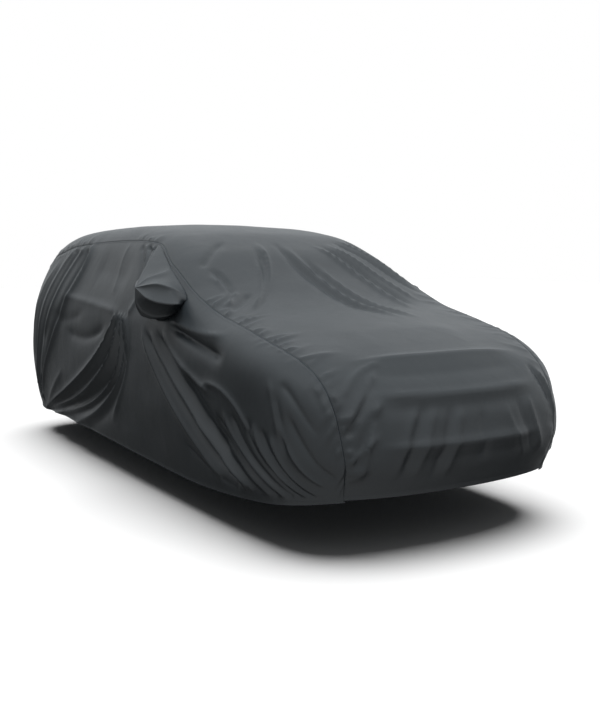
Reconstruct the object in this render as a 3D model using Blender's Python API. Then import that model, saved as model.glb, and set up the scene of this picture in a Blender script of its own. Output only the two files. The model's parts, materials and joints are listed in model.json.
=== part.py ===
"""Fitted car cover, hanging in the shape of the estate-bodied car it is made for.

The cover is five pieces of cloth: one long top panel that runs from the front hem over the
bonnet, windscreen, roof and tailgate to the rear hem, a side panel on each side, and a
mirror pocket let into each side panel.  The hems are turned edges of the panels.

Design space: x forward from the middle of the wheelbase, y to the left, z up from the
ground, all in metres.  The finished pieces are moved so that the origin is under the
highest point of the roof.
"""
from collections import namedtuple
from math import cos, pi, sin

import bmesh
import bpy
import numpy as np

# ---------------------------------------------------------------- driving dimensions
SHEET = 0.003                  # thickness of the cloth with its seams and hems
SEAM_HALF_GAP = 0.0002         # each piece stops this far from the seam line
POCKET_GAP = 0.0005            # rim of a mirror pocket to the edge of its opening
RIM_LEAD = np.array([1.0, 0.0, 0.37])    # every rim is split along the same diagonal

FRONT_REACH = 2.175            # foremost point of the form
REAR_REACH = -2.300            # rearmost point of the form
FRONT_BOW = 0.185              # how far the front curves back towards its corners
REAR_BOW = 0.085
BOW_HALF_WIDTH = 0.85
BOW_POWER = 2.4                # higher is squarer in plan
CROWN_DROP = 0.041             # fall of the roof and bonnet from the centre to the rail
CROWN_HALF_WIDTH = 0.75
SIDE_BLEND = 0.235             # size of the round edge between top and sides
END_BLEND = 0.330              # size of the round edge around the front and rear
RAY_REACH = 2.6                # longest ray from inside the form to its surface
HALVINGS = 30                  # steps that place a point along its ray
NORMAL_STEP = 0.004            # step that finds the normals of the form

ROOF_X = -0.70                 # the highest point of the roof is here
ROOF_HEIGHT = 1.630

RIGHT, LEFT = -1, 1            # hands of the side panels, by the sign of y

Station = namedtuple("Station", "at value")


def table(*rows):
    """A short table of stations, sorted along its first column."""
    return sorted(Station(*row) for row in rows)


# Height of the centre line, station by station from the front to the rear.
PROFILE = table((2.30, .750), (2.12, .865), (1.80, .980), (1.40, 1.085), (1.05, 1.170),
                (0.80, 1.275), (0.45, 1.465), (0.15, 1.565), (-0.20, 1.610),
                (ROOF_X, ROOF_HEIGHT), (-1.25, 1.615), (-1.70, 1.575), (-1.98, 1.510),
                (-2.20, 1.395))
# Half width against height, and how much the plan narrows towards both ends.
HALF_WIDTH = table((.15, .865), (.35, .905), (.60, .930), (.85, .925), (1.00, .910),
                   (1.15, .870), (1.40, .760), (1.60, .665), (1.75, .575))
PLAN_TAPER = table((-2.4, -.150), (-2.1, -.060), (-1.7, -.015), (-1.3, .005), (0.0, .010),
                   (1.2, .000), (1.6, -.025), (1.9, -.065), (2.1, -.105), (2.4, -.200))
# How the front and rear faces lean, against height.
FRONT_LEAN = table((.15, -.130), (.35, -.025), (.50, .025), (.65, .010), (.80, -.035),
                   (.95, -.115), (1.10, -.265))
REAR_LEAN = table((.15, .095), (.40, .015), (.60, .000), (.80, .015), (1.0, .060),
                  (1.2, .120), (1.4, .210), (1.6, .340))

# The seams between the top panel and the sides: half the top panel's width along its run.
# The run is counted in metres around a fan of rays (see fan_ray).
FAN_HUB_FRONT = (1.45, 0.55)
FAN_HUB_REAR = (-1.75, 0.85)
FAN_RADIUS = 0.55
FRONT_HEM = 0.30               # heights of the hem
REAR_HEM = 0.22
RUN_FRONT = FAN_HUB_FRONT[1] - FRONT_HEM
RUN_HUB = FAN_RADIUS * pi / 2
RUN_TOP = FAN_HUB_FRONT[0] - FAN_HUB_REAR[0]
RUN_REAR = FAN_HUB_REAR[1] - REAR_HEM
RUN = RUN_FRONT + 2 * RUN_HUB + RUN_TOP + RUN_REAR
RUN_AT_HUB_FRONT = RUN_FRONT + RUN_HUB
SEAM_HALF_WIDTH = table((0.00, .635), (0.15, .660), (0.30, .680), (0.60, .705),
                        (0.85, .740), (1.15, .760), (1.45, .770), (1.72, .780),
                        (2.10, .760), (2.45, .695), (2.80, .700), (3.60, .715),
                        (4.30, .730), (4.90, .715), (5.50, .690), (RUN, .660))
# Height of the side hem, and where the thread lines from the seam meet it.
SIDE_HEM = table((-2.20, REAR_HEM), (-1.80, .200), (-1.30, .225), (-0.50, .220),
                 (0.35, .200), (0.90, .190), (1.35, .210), (1.70, .240), (2.10, FRONT_HEM))
HEM_LEAD = table((0.0, 2.030), (RUN_FRONT, 1.930), (RUN_AT_HUB_FRONT, 1.300),
                 (RUN_AT_HUB_FRONT + RUN_TOP, -1.620), (RUN - RUN_REAR, -2.000),
                 (RUN, -2.170))

# Rows of the mesh: how many steps each stretch of the run takes.
Stretch = namedtuple("Stretch", "length steps")
SCREEN_RUN = 1.55              # the windscreen's stretch, and the end of the bonnet
STRETCHES = (Stretch(RUN_FRONT, 3), Stretch(RUN_HUB, 9), Stretch(SCREEN_RUN, 15),
             Stretch(RUN_TOP - SCREEN_RUN, 14), Stretch(RUN_HUB, 7), Stretch(RUN_REAR, 4))
TOP_COLUMNS = 14
SIDE_ROWS = 11

# ---------------------------------------------------------------- folds
# One row for each main fold.  A side fold is placed by (x, z), one on the bonnet,
# windscreen or roof by (x, y), one on the front or rear by (y, z).  Bow is the sideways
# bulge as a share of the length; height and widths are in millimetres.
Fold = namedtuple("Fold", "face start end bow height width_start width_end")
SIDE_FOLDS = (
    # the swag that is pulled from the front door down to the rear hem
    Fold("side", (-0.02, 1.03), (-1.76, 0.24), 0.12, 22, 45, 75),
    Fold("side", (0.04, 1.02), (-1.45, 0.22), 0.13, -22, 40, 75),
    Fold("side", (0.10, 1.02), (-0.95, 0.21), 0.13, 20, 40, 75),
    Fold("side", (0.14, 1.00), (-0.35, 0.24), 0.06, -17, 45, 80),
    # the long folds that fall forward from the mirror to the hem
    Fold("side", (0.34, 1.01), (1.00, 0.24), -0.03, 20, 45, 70),
    Fold("side", (0.47, 1.02), (1.22, 0.22), -0.06, -20, 45, 75),
    Fold("side", (0.58, 1.03), (1.48, 0.26), -0.07, 22, 45, 80),
    Fold("side", (0.72, 1.03), (1.28, 0.88), -0.10, -20, 45, 70),
    Fold("side", (0.98, 0.74), (1.28, 0.40), 0.05, -17, 60, 100),
    # drapes over the front wheel
    Fold("side", (1.40, 0.76), (1.66, 0.24), -0.08, 15, 70, 45),
    Fold("side", (1.54, 0.66), (1.80, 0.27), -0.06, -14, 60, 40),
    Fold("side", (1.80, 0.78), (2.00, 0.38), 0.14, 13, 60, 50),
    # the break from the roof edge to the rear corner and the streaks behind it
    Fold("side", (-0.98, 1.44), (-1.84, 0.30), -0.10, 20, 50, 60),
    Fold("side", (-1.20, 1.40), (-1.86, 0.34), -0.10, -14, 45, 45),
    Fold("side", (-1.44, 1.36), (-1.92, 0.40), -0.12, 14, 50, 50),
    # belt line under the windows, and the slack window
    Fold("side", (-1.30, 1.12), (0.10, 1.05), 0.00, 13, 60, 50),
    Fold("side", (-0.75, 1.34), (0.00, 1.26), 0.00, -13, 110, 110),
    # folds that hang from the roof rail in front of the mirror
    Fold("side", (0.00, 1.47), (0.14, 1.24), 0.00, 11, 40, 40),
)
TOP_FOLDS = (
    # sagging folds across the windscreen
    Fold("top", (0.36, -0.03), (1.44, 0.14), -0.05, -14, 60, 80),
    Fold("top", (0.44, 0.27), (1.26, 0.44), 0.02, 14, 70, 90),
    Fold("top", (0.34, 0.46), (0.98, 0.72), 0.04, -13, 60, 80),
    Fold("top", (0.40, -0.20), (1.16, -0.66), -0.12, -14, 60, 70),
    Fold("top", (0.42, -0.42), (0.98, -0.68), 0.06, 12, 60, 60),
    # hollow at the foot of the windscreen
    Fold("top", (1.20, -0.60), (1.20, 0.60), 0.06, -12, 130, 130),
    # bonnet edge and the bulge of the bonnet
    Fold("top", (1.86, -0.56), (1.86, 0.60), -0.05, 14, 60, 60),
    Fold("top", (1.55, -0.45), (1.55, 0.45), 0.05, 10, 200, 200),
)
FRONT_FOLDS = (
    Fold("front", (-0.58, 0.78), (0.56, 0.77), 0.00, 12, 45, 45),
    Fold("front", (-0.55, 0.69), (0.55, 0.69), 0.00, -11, 60, 60),
    Fold("front", (-0.52, 0.54), (0.50, 0.54), 0.00, 11, 45, 45),
    Fold("front", (-0.50, 0.44), (0.50, 0.44), 0.00, -10, 60, 60),
    Fold("front", (-0.27, 0.74), (-0.42, 0.36), 0.06, 12, 60, 60),
    Fold("front", (-0.06, 0.72), (-0.20, 0.36), 0.05, -10, 60, 60),
    Fold("front", (0.26, 0.72), (0.42, 0.38), 0.05, 10, 70, 70),
)
REAR_FOLDS = (
    Fold("rear", (-0.55, 1.00), (0.55, 1.00), 0.00, 11, 70, 70),
    Fold("rear", (-0.50, 0.86), (0.50, 0.86), 0.04, -12, 80, 80),
    Fold("rear", (-0.55, 0.62), (0.55, 0.60), 0.00, 11, 60, 60),
    Fold("rear", (-0.40, 1.20), (-0.30, 0.70), 0.08, 10, 70, 90),
    Fold("rear", (0.36, 1.24), (0.24, 0.66), -0.08, -10, 70, 90),
)
FOLD_POINTS = 12               # points along the line of a fold
FOLD_REACH = 2.4               # a fold dies out this many half widths from its line
FOLD_FADE = 0.04               # share of its height that a fold keeps at its ends
TOP_FOLD_HEIGHT = 0.7          # folds are laid on the form from inside: from this height,
END_FOLD_X = 1.2               # and for the front and rear from this far along the car
LEFT_SHIFT = 0.035             # how far the folds of the left side move, and how much
LEFT_SCALE = 0.18              # their heights change

# ---------------------------------------------------------------- mirror pocket
# The pocket is a small tent over the mirror: its ribs run from the rim on the body to the
# tip.  A row for each rib, in order around the rim: where it starts (x, z), the points it
# passes (x, y out, z), how round it is (0 a sharp ridge, 1 smooth) and how many
# millimetres the cloth sinks between it and the next rib.
Rib = namedtuple("Rib", "name rim by round sink")
POCKET_RIBS = (
    Rib("apex_ridge", (0.135, 1.478), ((0.342, 0.882, 1.352),), 0.0, 15),
    Rib("pillar_ridge", (0.470, 1.338), ((0.528, 0.868, 1.314), (0.548, 0.960, 1.289)), 0.0, 9),
    Rib("brow", (0.750, 1.205), ((0.772, 0.908, 1.240), (0.716, 0.980, 1.264)), 0.2, 12),
    Rib("lower_edge", (0.785, 1.155),
        ((0.850, 0.932, 1.157), (0.798, 1.002, 1.166), (0.716, 1.046, 1.194)), 0.0, 4),
    Rib("sole_front", (0.760, 1.104),
        ((0.740, 0.915, 1.090), (0.672, 0.968, 1.078), (0.618, 1.030, 1.110),
         (0.598, 1.056, 1.172)), 0.4, -4),
    Rib("sole_rear", (0.610, 1.062),
        ((0.606, 0.955, 1.066), (0.590, 1.008, 1.082), (0.582, 1.050, 1.162)), 1.0, -3),
    Rib("back_low", (0.420, 1.085),
        ((0.492, 0.975, 1.092), (0.545, 1.032, 1.165)), 1.0, 6),
    Rib("back_middle", (0.285, 1.195),
        ((0.425, 0.978, 1.170), (0.515, 1.022, 1.212)), 1.0, 8),
    Rib("back_high", (0.185, 1.350), ((0.350, 0.930, 1.278), (0.480, 1.002, 1.262)), 0.6, 10),
)
POCKET_TIP = (0.585, 1.050, 1.242)
POCKET_HEART = (0.50, 0.80, 1.20)      # the cloth sinks towards here between its ribs
POCKET_SPAN_STEPS = 3          # columns from each rib to the next
POCKET_RIB_STEPS = 7           # rows from the rim to the tip
# The left mirror is folded back: its pocket hangs closer to the body and further back.
FOLDED_SHIFT = 0.90            # metres towards the rear for each metre it stood out
FOLDED_SHARE = 0.42            # and the share of that metre which it still stands out
CUTTER_START = 0.2             # the cutter of its opening runs outward from this far
CUTTER_LENGTH = 1.4            # off the centre line

# ---------------------------------------------------------------- materials
CLOTH_COLOUR = (0.050, 0.055, 0.060, 1.0)
CLOTH_ROUGHNESS = 0.62
SHARP_EDGE = pi / 3            # edges turned more than this are drawn sharp


# ---------------------------------------------------------------- curves
def smooth_curve(rows):
    """Monotone cubic through a table's stations, as a function of arrays."""
    at = np.array([row.at for row in rows])
    value = np.array([row.value for row in rows])
    step = np.diff(at)
    slope = np.diff(value) / step
    tangent = np.zeros_like(value)
    tangent[0], tangent[-1] = slope[0], slope[-1]
    both = slope[:-1] * slope[1:] > 0
    w1 = 2 * step[1:] + step[:-1]
    w2 = step[1:] + 2 * step[:-1]
    inner = np.zeros(len(at) - 2)
    inner[both] = ((w1 + w2)[both]
                   / (w1[both] / slope[:-1][both] + w2[both] / slope[1:][both]))
    tangent[1:-1] = inner

    def read(x, slope_only=False):
        x = np.clip(np.asarray(x, float), at[0], at[-1])
        i = np.clip(np.searchsorted(at, x, side="right") - 1, 0, len(step) - 1)
        h = step[i]
        t = (x - at[i]) / h
        if slope_only:
            return ((6 * t * t - 6 * t) * (value[i] - value[i + 1]) / h
                    + (3 * t * t - 4 * t + 1) * tangent[i]
                    + (3 * t * t - 2 * t) * tangent[i + 1])
        return ((2 * t ** 3 - 3 * t * t + 1) * value[i] + (t ** 3 - 2 * t * t + t) * h * tangent[i]
                + (3 * t * t - 2 * t ** 3) * value[i + 1] + (t ** 3 - t * t) * h * tangent[i + 1])
    return read


profile = smooth_curve(PROFILE)
half_width = smooth_curve(HALF_WIDTH)
plan_taper = smooth_curve(PLAN_TAPER)
front_lean = smooth_curve(FRONT_LEAN)
rear_lean = smooth_curve(REAR_LEAN)
seam_half_width = smooth_curve(SEAM_HALF_WIDTH)
side_hem = smooth_curve(SIDE_HEM)
hem_lead = smooth_curve(HEM_LEAD)


# ---------------------------------------------------------------- the form under the cloth
def blend_max(a, b, size):
    """The larger of two distances, with a round edge of the given size between them."""
    near = np.maximum(size - np.abs(a - b), 0.0) / size
    return np.maximum(a, b) + near ** 3 * size / 6


def form(p):
    """Roughly the distance of points outside the smooth form, negative inside it."""
    x, y, z = p[..., 0], np.abs(p[..., 1]), p[..., 2]
    side = y - half_width(z) - plan_taper(x)
    slope = profile(x, slope_only=True)
    top = (z - profile(x) + CROWN_DROP * (y / CROWN_HALF_WIDTH) ** 2) / np.sqrt(1 + slope ** 2)
    bow = (y / BOW_HALF_WIDTH) ** BOW_POWER
    front = x - FRONT_REACH - front_lean(z) + FRONT_BOW * bow
    rear = REAR_REACH + rear_lean(z) + REAR_BOW * bow - x
    return blend_max(blend_max(side, top, SIDE_BLEND), np.maximum(front, rear), END_BLEND)


def settle(start, direction):
    """Follow rays that start inside the form out to its surface."""
    start, direction = np.broadcast_arrays(np.asarray(start, float), np.asarray(direction, float))
    near = np.zeros(start.shape[:-1])
    far = np.full(start.shape[:-1], RAY_REACH)
    for _ in range(HALVINGS):
        middle = (near + far) / 2
        inside = form(start + direction * middle[..., None]) < 0
        near = np.where(inside, middle, near)
        far = np.where(inside, far, middle)
    return start + direction * near[..., None]


def outward(p):
    """Unit normals of the form."""
    gradient = np.stack([form(p + step) - form(p - step) for step in NORMAL_STEP * np.eye(3)], -1)
    return gradient / np.linalg.norm(gradient, axis=-1, keepdims=True)


# ---------------------------------------------------------------- folds in the cloth
def fold_line(fold, hand):
    """The line of a fold laid on the form; hand says which side a side fold is on."""
    t = np.linspace(0, 1, FOLD_POINTS)
    start, end = np.array(fold.start), np.array(fold.end)
    across = np.array([start[1] - end[1], end[0] - start[0]])
    plan = start + np.outer(t, end - start) + np.outer(4 * t * (1 - t) * fold.bow, across)
    a, b = plan[:, 0], plan[:, 1]
    zero = np.zeros_like(a)
    if fold.face == "side":
        return settle(np.stack([a, zero, b], -1), (0, hand, 0))
    if fold.face == "top":
        return settle(np.stack([a, b, zero + TOP_FOLD_HEIGHT], -1), (0, 0, 1))
    forward = 1 if fold.face == "front" else -1
    return settle(np.stack([zero + forward * END_FOLD_X, a, b], -1), (forward, 0, 0))


def lift_of_fold(p, fold, hand):
    """How far one fold lifts (or sinks) the cloth at each point."""
    line = fold_line(fold, hand)
    best = np.full(len(p), np.inf)
    along = np.zeros(len(p))
    for i, (a, b) in enumerate(zip(line[:-1], line[1:])):
        run = b - a
        t = np.clip((p - a) @ run / (run @ run), 0, 1)
        gap = np.linalg.norm(p - a - t[:, None] * run, axis=1)
        closer = gap < best
        best = np.where(closer, gap, best)
        along = np.where(closer, (i + t) / (len(line) - 1), along)
    width = (fold.width_start + (fold.width_end - fold.width_start) * along) / 1000
    across = np.exp(-(best / width) ** 2) * (best < FOLD_REACH * width)
    fade = np.sin(pi * np.clip(along, FOLD_FADE, 1 - FOLD_FADE)) ** 0.5
    return fold.height / 1000 * across * fade


def other_side(folds):
    """The left side hangs a little differently: its folds are shifted and scaled in turn."""
    varied = []
    for i, fold in enumerate(folds):
        shift = LEFT_SHIFT * sin(2.1 * i + 0.5)
        scale = 1.0 + LEFT_SCALE * cos(1.7 * i)
        varied.append(fold._replace(start=(fold.start[0] + shift, fold.start[1]),
                                    end=(fold.end[0] - shift, fold.end[1]),
                                    height=fold.height * scale))
    return varied


HANDED_FOLDS = ([(fold, RIGHT) for fold in SIDE_FOLDS]
                + [(fold, LEFT) for fold in other_side(SIDE_FOLDS)]
                + [(fold, LEFT) for fold in TOP_FOLDS + FRONT_FOLDS + REAR_FOLDS])


def drape(p):
    """Points of the form moved out or in by every fold; returns the cloth and its normals."""
    shape = p.shape
    flat = p.reshape(-1, 3)
    normal = outward(flat)
    lift = sum(lift_of_fold(flat, fold, hand) for fold, hand in HANDED_FOLDS)
    return (flat + normal * lift[:, None]).reshape(shape), normal.reshape(shape)


# ---------------------------------------------------------------- panels
def fan_ray(run):
    """Start (x, z) and direction (x, z) of the ray for one place along the top panel."""
    if run <= RUN_FRONT:
        return (FAN_HUB_FRONT[0], FRONT_HEM + run), (1.0, 0.0)
    run -= RUN_FRONT
    if run <= RUN_HUB:
        angle = run / FAN_RADIUS
        return FAN_HUB_FRONT, (cos(angle), sin(angle))
    run -= RUN_HUB
    if run <= RUN_TOP:
        share = run / RUN_TOP
        height = FAN_HUB_FRONT[1] + (FAN_HUB_REAR[1] - FAN_HUB_FRONT[1]) * share
        return (FAN_HUB_FRONT[0] - run, height), (0.0, 1.0)
    run -= RUN_TOP
    if run <= RUN_HUB:
        angle = pi / 2 + run / FAN_RADIUS
        return FAN_HUB_REAR, (cos(angle), sin(angle))
    return (FAN_HUB_REAR[0], FAN_HUB_REAR[1] - (run - RUN_HUB)), (-1.0, 0.0)


def stations():
    """Places along the run of the top panel, from the front hem to the rear hem."""
    places = [0.0]
    for stretch in STRETCHES:
        first = places[-1]
        places += [first + stretch.length * (i + 1) / stretch.steps for i in range(stretch.steps)]
    return np.array(places)


def top_grid(places, across):
    """Points of the form under the top panel; across runs from -1, right, to 1, left."""
    rays = [fan_ray(place) for place in places]
    width = seam_half_width(places)
    start = np.array([[(ox, width[i] * v, oz) for v in across]
                      for i, ((ox, oz), _) in enumerate(rays)])
    direction = np.array([[(dx, 0.0, dz)] * len(across) for _, (dx, dz) in rays])
    return settle(start, direction)


def side_grid(places, rows, hand):
    """Points of the form under a side panel, from the seam down to the hem."""
    seam = top_grid(places, [hand])[:, 0]
    hem_x = hem_lead(places)
    hem = np.stack([hem_x, np.zeros_like(hem_x), side_hem(hem_x)], -1)
    hem[[0, -1]] = seam[[0, -1]]
    share = np.linspace(0, 1, rows + 1)
    plan = seam[:, None] * (1 - share)[None, :, None] + hem[:, None] * share[None, :, None]
    plan[..., 1] = 0
    grid = settle(plan, (0, hand, 0))
    grid[:, 0] = seam
    grid[[0, -1]] = seam[[0, -1], None]
    return grid


def draw_back(grid, edge, inner):
    """Move one edge row of a grid off the seam line by half the gap, within the cloth."""
    line = grid[edge]
    along = np.gradient(line, axis=0)
    along /= np.linalg.norm(along, axis=1, keepdims=True)
    inward = grid[inner] - line
    inward -= along * np.sum(inward * along, axis=1, keepdims=True)
    size = np.linalg.norm(inward, axis=1, keepdims=True)
    grid[edge] = line + inward / np.maximum(size, 1e-6) * SEAM_HALF_GAP


def place(p):
    """From the design space to the part's own frame."""
    return np.asarray(p) - np.array([ROOF_X, 0.0, ROOF_HEIGHT - SHEET])


# ---------------------------------------------------------------- meshes
def cloth_material(name):
    material = bpy.data.materials.new(name)
    material.use_nodes = True
    shader = material.node_tree.nodes["Principled BSDF"]
    shader.inputs["Base Color"].default_value = CLOTH_COLOUR
    shader.inputs["Roughness"].default_value = CLOTH_ROUGHNESS
    shader.inputs["Metallic"].default_value = 0.0
    return material


def add_object(name, mesh, material):
    obj = bpy.data.objects.new(name, mesh)
    obj.data.materials.append(material)
    bpy.context.scene.collection.objects.link(obj)
    return obj


def thick_sheet(name, outer, normal, faces):
    """A closed sheet: the outer face, the same face one thickness in, and a rim."""
    inner = outer - normal * SHEET
    mesh = bpy.data.meshes.new(name)
    bm = bmesh.new()
    outside = [bm.verts.new(p) for p in place(outer)]
    inside = [bm.verts.new(p) for p in place(inner)]
    open_edges = {}
    for face in faces:
        bm.faces.new([outside[i] for i in face])
        bm.faces.new([inside[i] for i in reversed(face)])
        for a, b in zip(face, face[1:] + face[:1]):
            if (b, a) in open_edges:
                del open_edges[(b, a)]
            else:
                open_edges[(a, b)] = True
    for a, b in open_edges:
        if RIM_LEAD @ outer[a] < RIM_LEAD @ outer[b]:
            bm.faces.new([outside[b], outside[a], inside[a]])
            bm.faces.new([outside[b], inside[a], inside[b]])
        else:
            bm.faces.new([outside[b], outside[a], inside[b]])
            bm.faces.new([outside[a], inside[a], inside[b]])
    unused = [vert for vert in bm.verts if not vert.link_faces]
    bmesh.ops.delete(bm, geom=unused, context="VERTS")
    bmesh.ops.recalc_face_normals(bm, faces=bm.faces)
    bm.to_mesh(mesh)
    bm.free()
    mesh.shade_smooth()
    mesh.set_sharp_from_angle(angle=SHARP_EDGE)
    return mesh


def split_quad(p, quad):
    """Two triangles, cut along the quad's shorter diagonal."""
    a, b, c, d = quad
    if np.linalg.norm(p[a] - p[c]) <= np.linalg.norm(p[b] - p[d]):
        return [(a, b, c), (a, c, d)]
    return [(a, b, d), (b, c, d)]


def grid_faces(p, rows, columns, pointed=False):
    """Triangles of a grid; the first and last rows of a pointed one close to a point."""
    faces = []
    for i in range(rows - 1):
        for j in range(columns - 1):
            a = i * columns + j
            b = a + columns
            if pointed and i == 0:
                faces.append((0, b + 1, b))
            elif pointed and i == rows - 2:
                faces.append((a, a + 1, (rows - 1) * columns))
            else:
                faces += split_quad(p, (a, a + 1, b + 1, b))
    return faces


def build_top_panel():
    places = stations()
    across = np.linspace(-1, 1, TOP_COLUMNS + 1)
    cloth, normal = drape(top_grid(places, across))
    turned = np.swapaxes(cloth, 0, 1)
    draw_back(turned, 0, 1)
    draw_back(turned, -1, -2)
    flat = cloth.reshape(-1, 3)
    faces = grid_faces(flat, len(places), len(across))
    mesh = thick_sheet("top_panel", flat, normal.reshape(-1, 3), faces)
    return add_object("top_panel", mesh, cloth_material("top_cloth"))


def build_side_panel(name, hand):
    places = stations()
    cloth, normal = drape(side_grid(places, SIDE_ROWS, hand))
    turned = np.swapaxes(cloth, 0, 1)
    draw_back(turned, 0, 1)
    flat = cloth.reshape(-1, 3)
    faces = grid_faces(flat, len(places), SIDE_ROWS + 1, pointed=True)
    mesh = thick_sheet(name, flat, normal.reshape(-1, 3), faces)
    return add_object(name, mesh, cloth_material(name + "_cloth"))


def closed_curve(points, steps):
    """Smooth closed curve through points, with a number of steps from each to the next."""
    points = np.asarray(points, float)
    tangent = (np.roll(points, -1, 0) - np.roll(points, 1, 0)) / 2
    following, tangent_there = np.roll(points, -1, 0), np.roll(tangent, -1, 0)
    t = (np.arange(steps) / steps)[None, :, None]
    curve = ((2 * t ** 3 - 3 * t * t + 1) * points[:, None]
             + (t ** 3 - 2 * t * t + t) * tangent[:, None]
             + (3 * t * t - 2 * t ** 3) * following[:, None]
             + (t ** 3 - t * t) * tangent_there[:, None])
    return curve.reshape(-1, points.shape[1])


def curve_through(points, shares):
    """Smooth open curve through points, read at shares of its length."""
    steps = np.linalg.norm(np.diff(points, axis=0), axis=1)
    at = np.concatenate([[0.0], np.cumsum(steps)]) / steps.sum()
    axes = [smooth_curve(table(*zip(at, points[:, k]))) for k in range(3)]
    return np.stack([axis(shares) for axis in axes], -1)


def pocket_rim(hand):
    """The opening's outline on the body, as points of the draped side panel."""
    outline = closed_curve([rib.rim for rib in POCKET_RIBS], POCKET_SPAN_STEPS)
    plan = np.stack([outline[:, 0], np.zeros(len(outline)), outline[:, 1]], -1)
    cloth, _ = drape(settle(plan, (0, hand, 0)))
    return cloth


def folded_back(p):
    """Points of the right pocket as they hang on the left, over a mirror that is folded."""
    proud = np.maximum(form(p), 0)[..., None]
    return p - outward(p) * (1 - FOLDED_SHARE) * proud - (FOLDED_SHIFT, 0, 0) * proud


def pocket_rows(hand):
    """Rows of the mirror pocket from its rim to near the tip, and the tip."""
    rim = pocket_rim(hand)
    inward = (rim.mean(axis=0) - rim) * (1, 0, 1)
    rim = rim + inward / np.linalg.norm(inward, axis=1, keepdims=True) * POCKET_GAP
    sign = np.array([1, hand, 1])
    outer = folded_back if hand == LEFT else np.array
    tip = outer(np.array([POCKET_TIP]))[0] * sign
    shares = np.linspace(0, 1, POCKET_RIB_STEPS + 1)
    starts = rim[::POCKET_SPAN_STEPS]
    ribs = np.array([curve_through(np.vstack([start, outer(np.array(rib.by)) * sign, tip]), shares)
                     for start, rib in zip(starts, POCKET_RIBS)])
    following = np.roll(ribs, -1, axis=0)
    rounded = np.array([closed_curve(ribs[:, j], POCKET_SPAN_STEPS)
                        for j in range(len(shares))])
    heart = np.array(POCKET_HEART) * sign
    columns = []
    for i, rib in enumerate(POCKET_RIBS):
        after = POCKET_RIBS[(i + 1) % len(POCKET_RIBS)]
        for k in range(POCKET_SPAN_STEPS):
            t = k / POCKET_SPAN_STEPS
            line = (1 - t) * ribs[i] + t * following[i]
            soft = (1 - t) * rib.round + t * after.round
            line = (1 - soft) * line + soft * rounded[:, i * POCKET_SPAN_STEPS + k]
            to_heart = heart - line
            to_heart /= np.linalg.norm(to_heart, axis=1, keepdims=True)
            sink = rib.sink / 1000 * 4 * t * (1 - t) * np.sin(pi * shares ** 0.8)
            start = rim[i * POCKET_SPAN_STEPS + k]
            drawn = (start - line[0]) * (1 - shares[:, None]) ** 2
            columns.append(line + to_heart * sink[:, None] + drawn)
    return np.array(columns).swapaxes(0, 1)[:-1], tip


def build_mirror_pocket(name, hand):
    rows, tip = pocket_rows(hand)
    count = rows.shape[1]
    points = np.vstack([rows.reshape(-1, 3), tip[None]])
    last = len(points) - 1
    faces = []
    for i in range(len(rows) - 1):
        for j in range(count):
            a, b = i * count + j, i * count + (j + 1) % count
            faces += split_quad(points, (a, b, b + count, a + count))
    first = (len(rows) - 1) * count
    faces += [(first + j, first + (j + 1) % count, last) for j in range(count)]
    normal = sheet_normals(points, faces, hand)
    mesh = thick_sheet(name, points, normal, faces)
    return add_object(name, mesh, cloth_material(name + "_cloth"))


def sheet_normals(points, faces, hand):
    """Area-weighted normals of an open sheet, pointing away from the car."""
    normal = np.zeros_like(points)
    for face in faces:
        a, b, c = (points[i] for i in face)
        cross = np.cross(b - a, c - a)
        for i in face:
            normal[i] += cross
    if normal[-1][1] * hand < 0:
        normal = -normal
    return normal / np.linalg.norm(normal, axis=1, keepdims=True)


def cut_pocket_opening(panel, hand):
    """Cut the mirror pocket's opening out of a side panel."""
    outline = pocket_rim(hand)
    mesh = bpy.data.meshes.new(panel.name + "_cutter")
    bm = bmesh.new()
    loop = [bm.verts.new(place((x, hand * CUTTER_START, z))) for x, _, z in outline]
    face = bm.faces.new(loop)
    swept = bmesh.ops.extrude_face_region(bm, geom=[face])
    moved = [item for item in swept["geom"] if isinstance(item, bmesh.types.BMVert)]
    bmesh.ops.translate(bm, verts=moved, vec=(0, hand * CUTTER_LENGTH, 0))
    bmesh.ops.recalc_face_normals(bm, faces=bm.faces)
    bm.to_mesh(mesh)
    bm.free()
    cutter = bpy.data.objects.new(panel.name + "_cutter", mesh)
    bpy.context.scene.collection.objects.link(cutter)
    cutter.hide_render = True
    cutter.display_type = "WIRE"
    opening = panel.modifiers.new("pocket_opening", "BOOLEAN")
    opening.operation = "DIFFERENCE"
    opening.solver = "EXACT"
    opening.object = cutter


def main():
    for obj in list(bpy.data.objects):
        bpy.data.objects.remove(obj, do_unlink=True)
    build_top_panel()
    for side, hand in (("right", RIGHT), ("left", LEFT)):
        panel = build_side_panel("side_panel_" + side, hand)
        cut_pocket_opening(panel, hand)
        build_mirror_pocket("mirror_pocket_" + side, hand)


main()
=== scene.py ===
import json
from collections import namedtuple
from functools import lru_cache
from math import cos, pi, radians, sin

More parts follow.
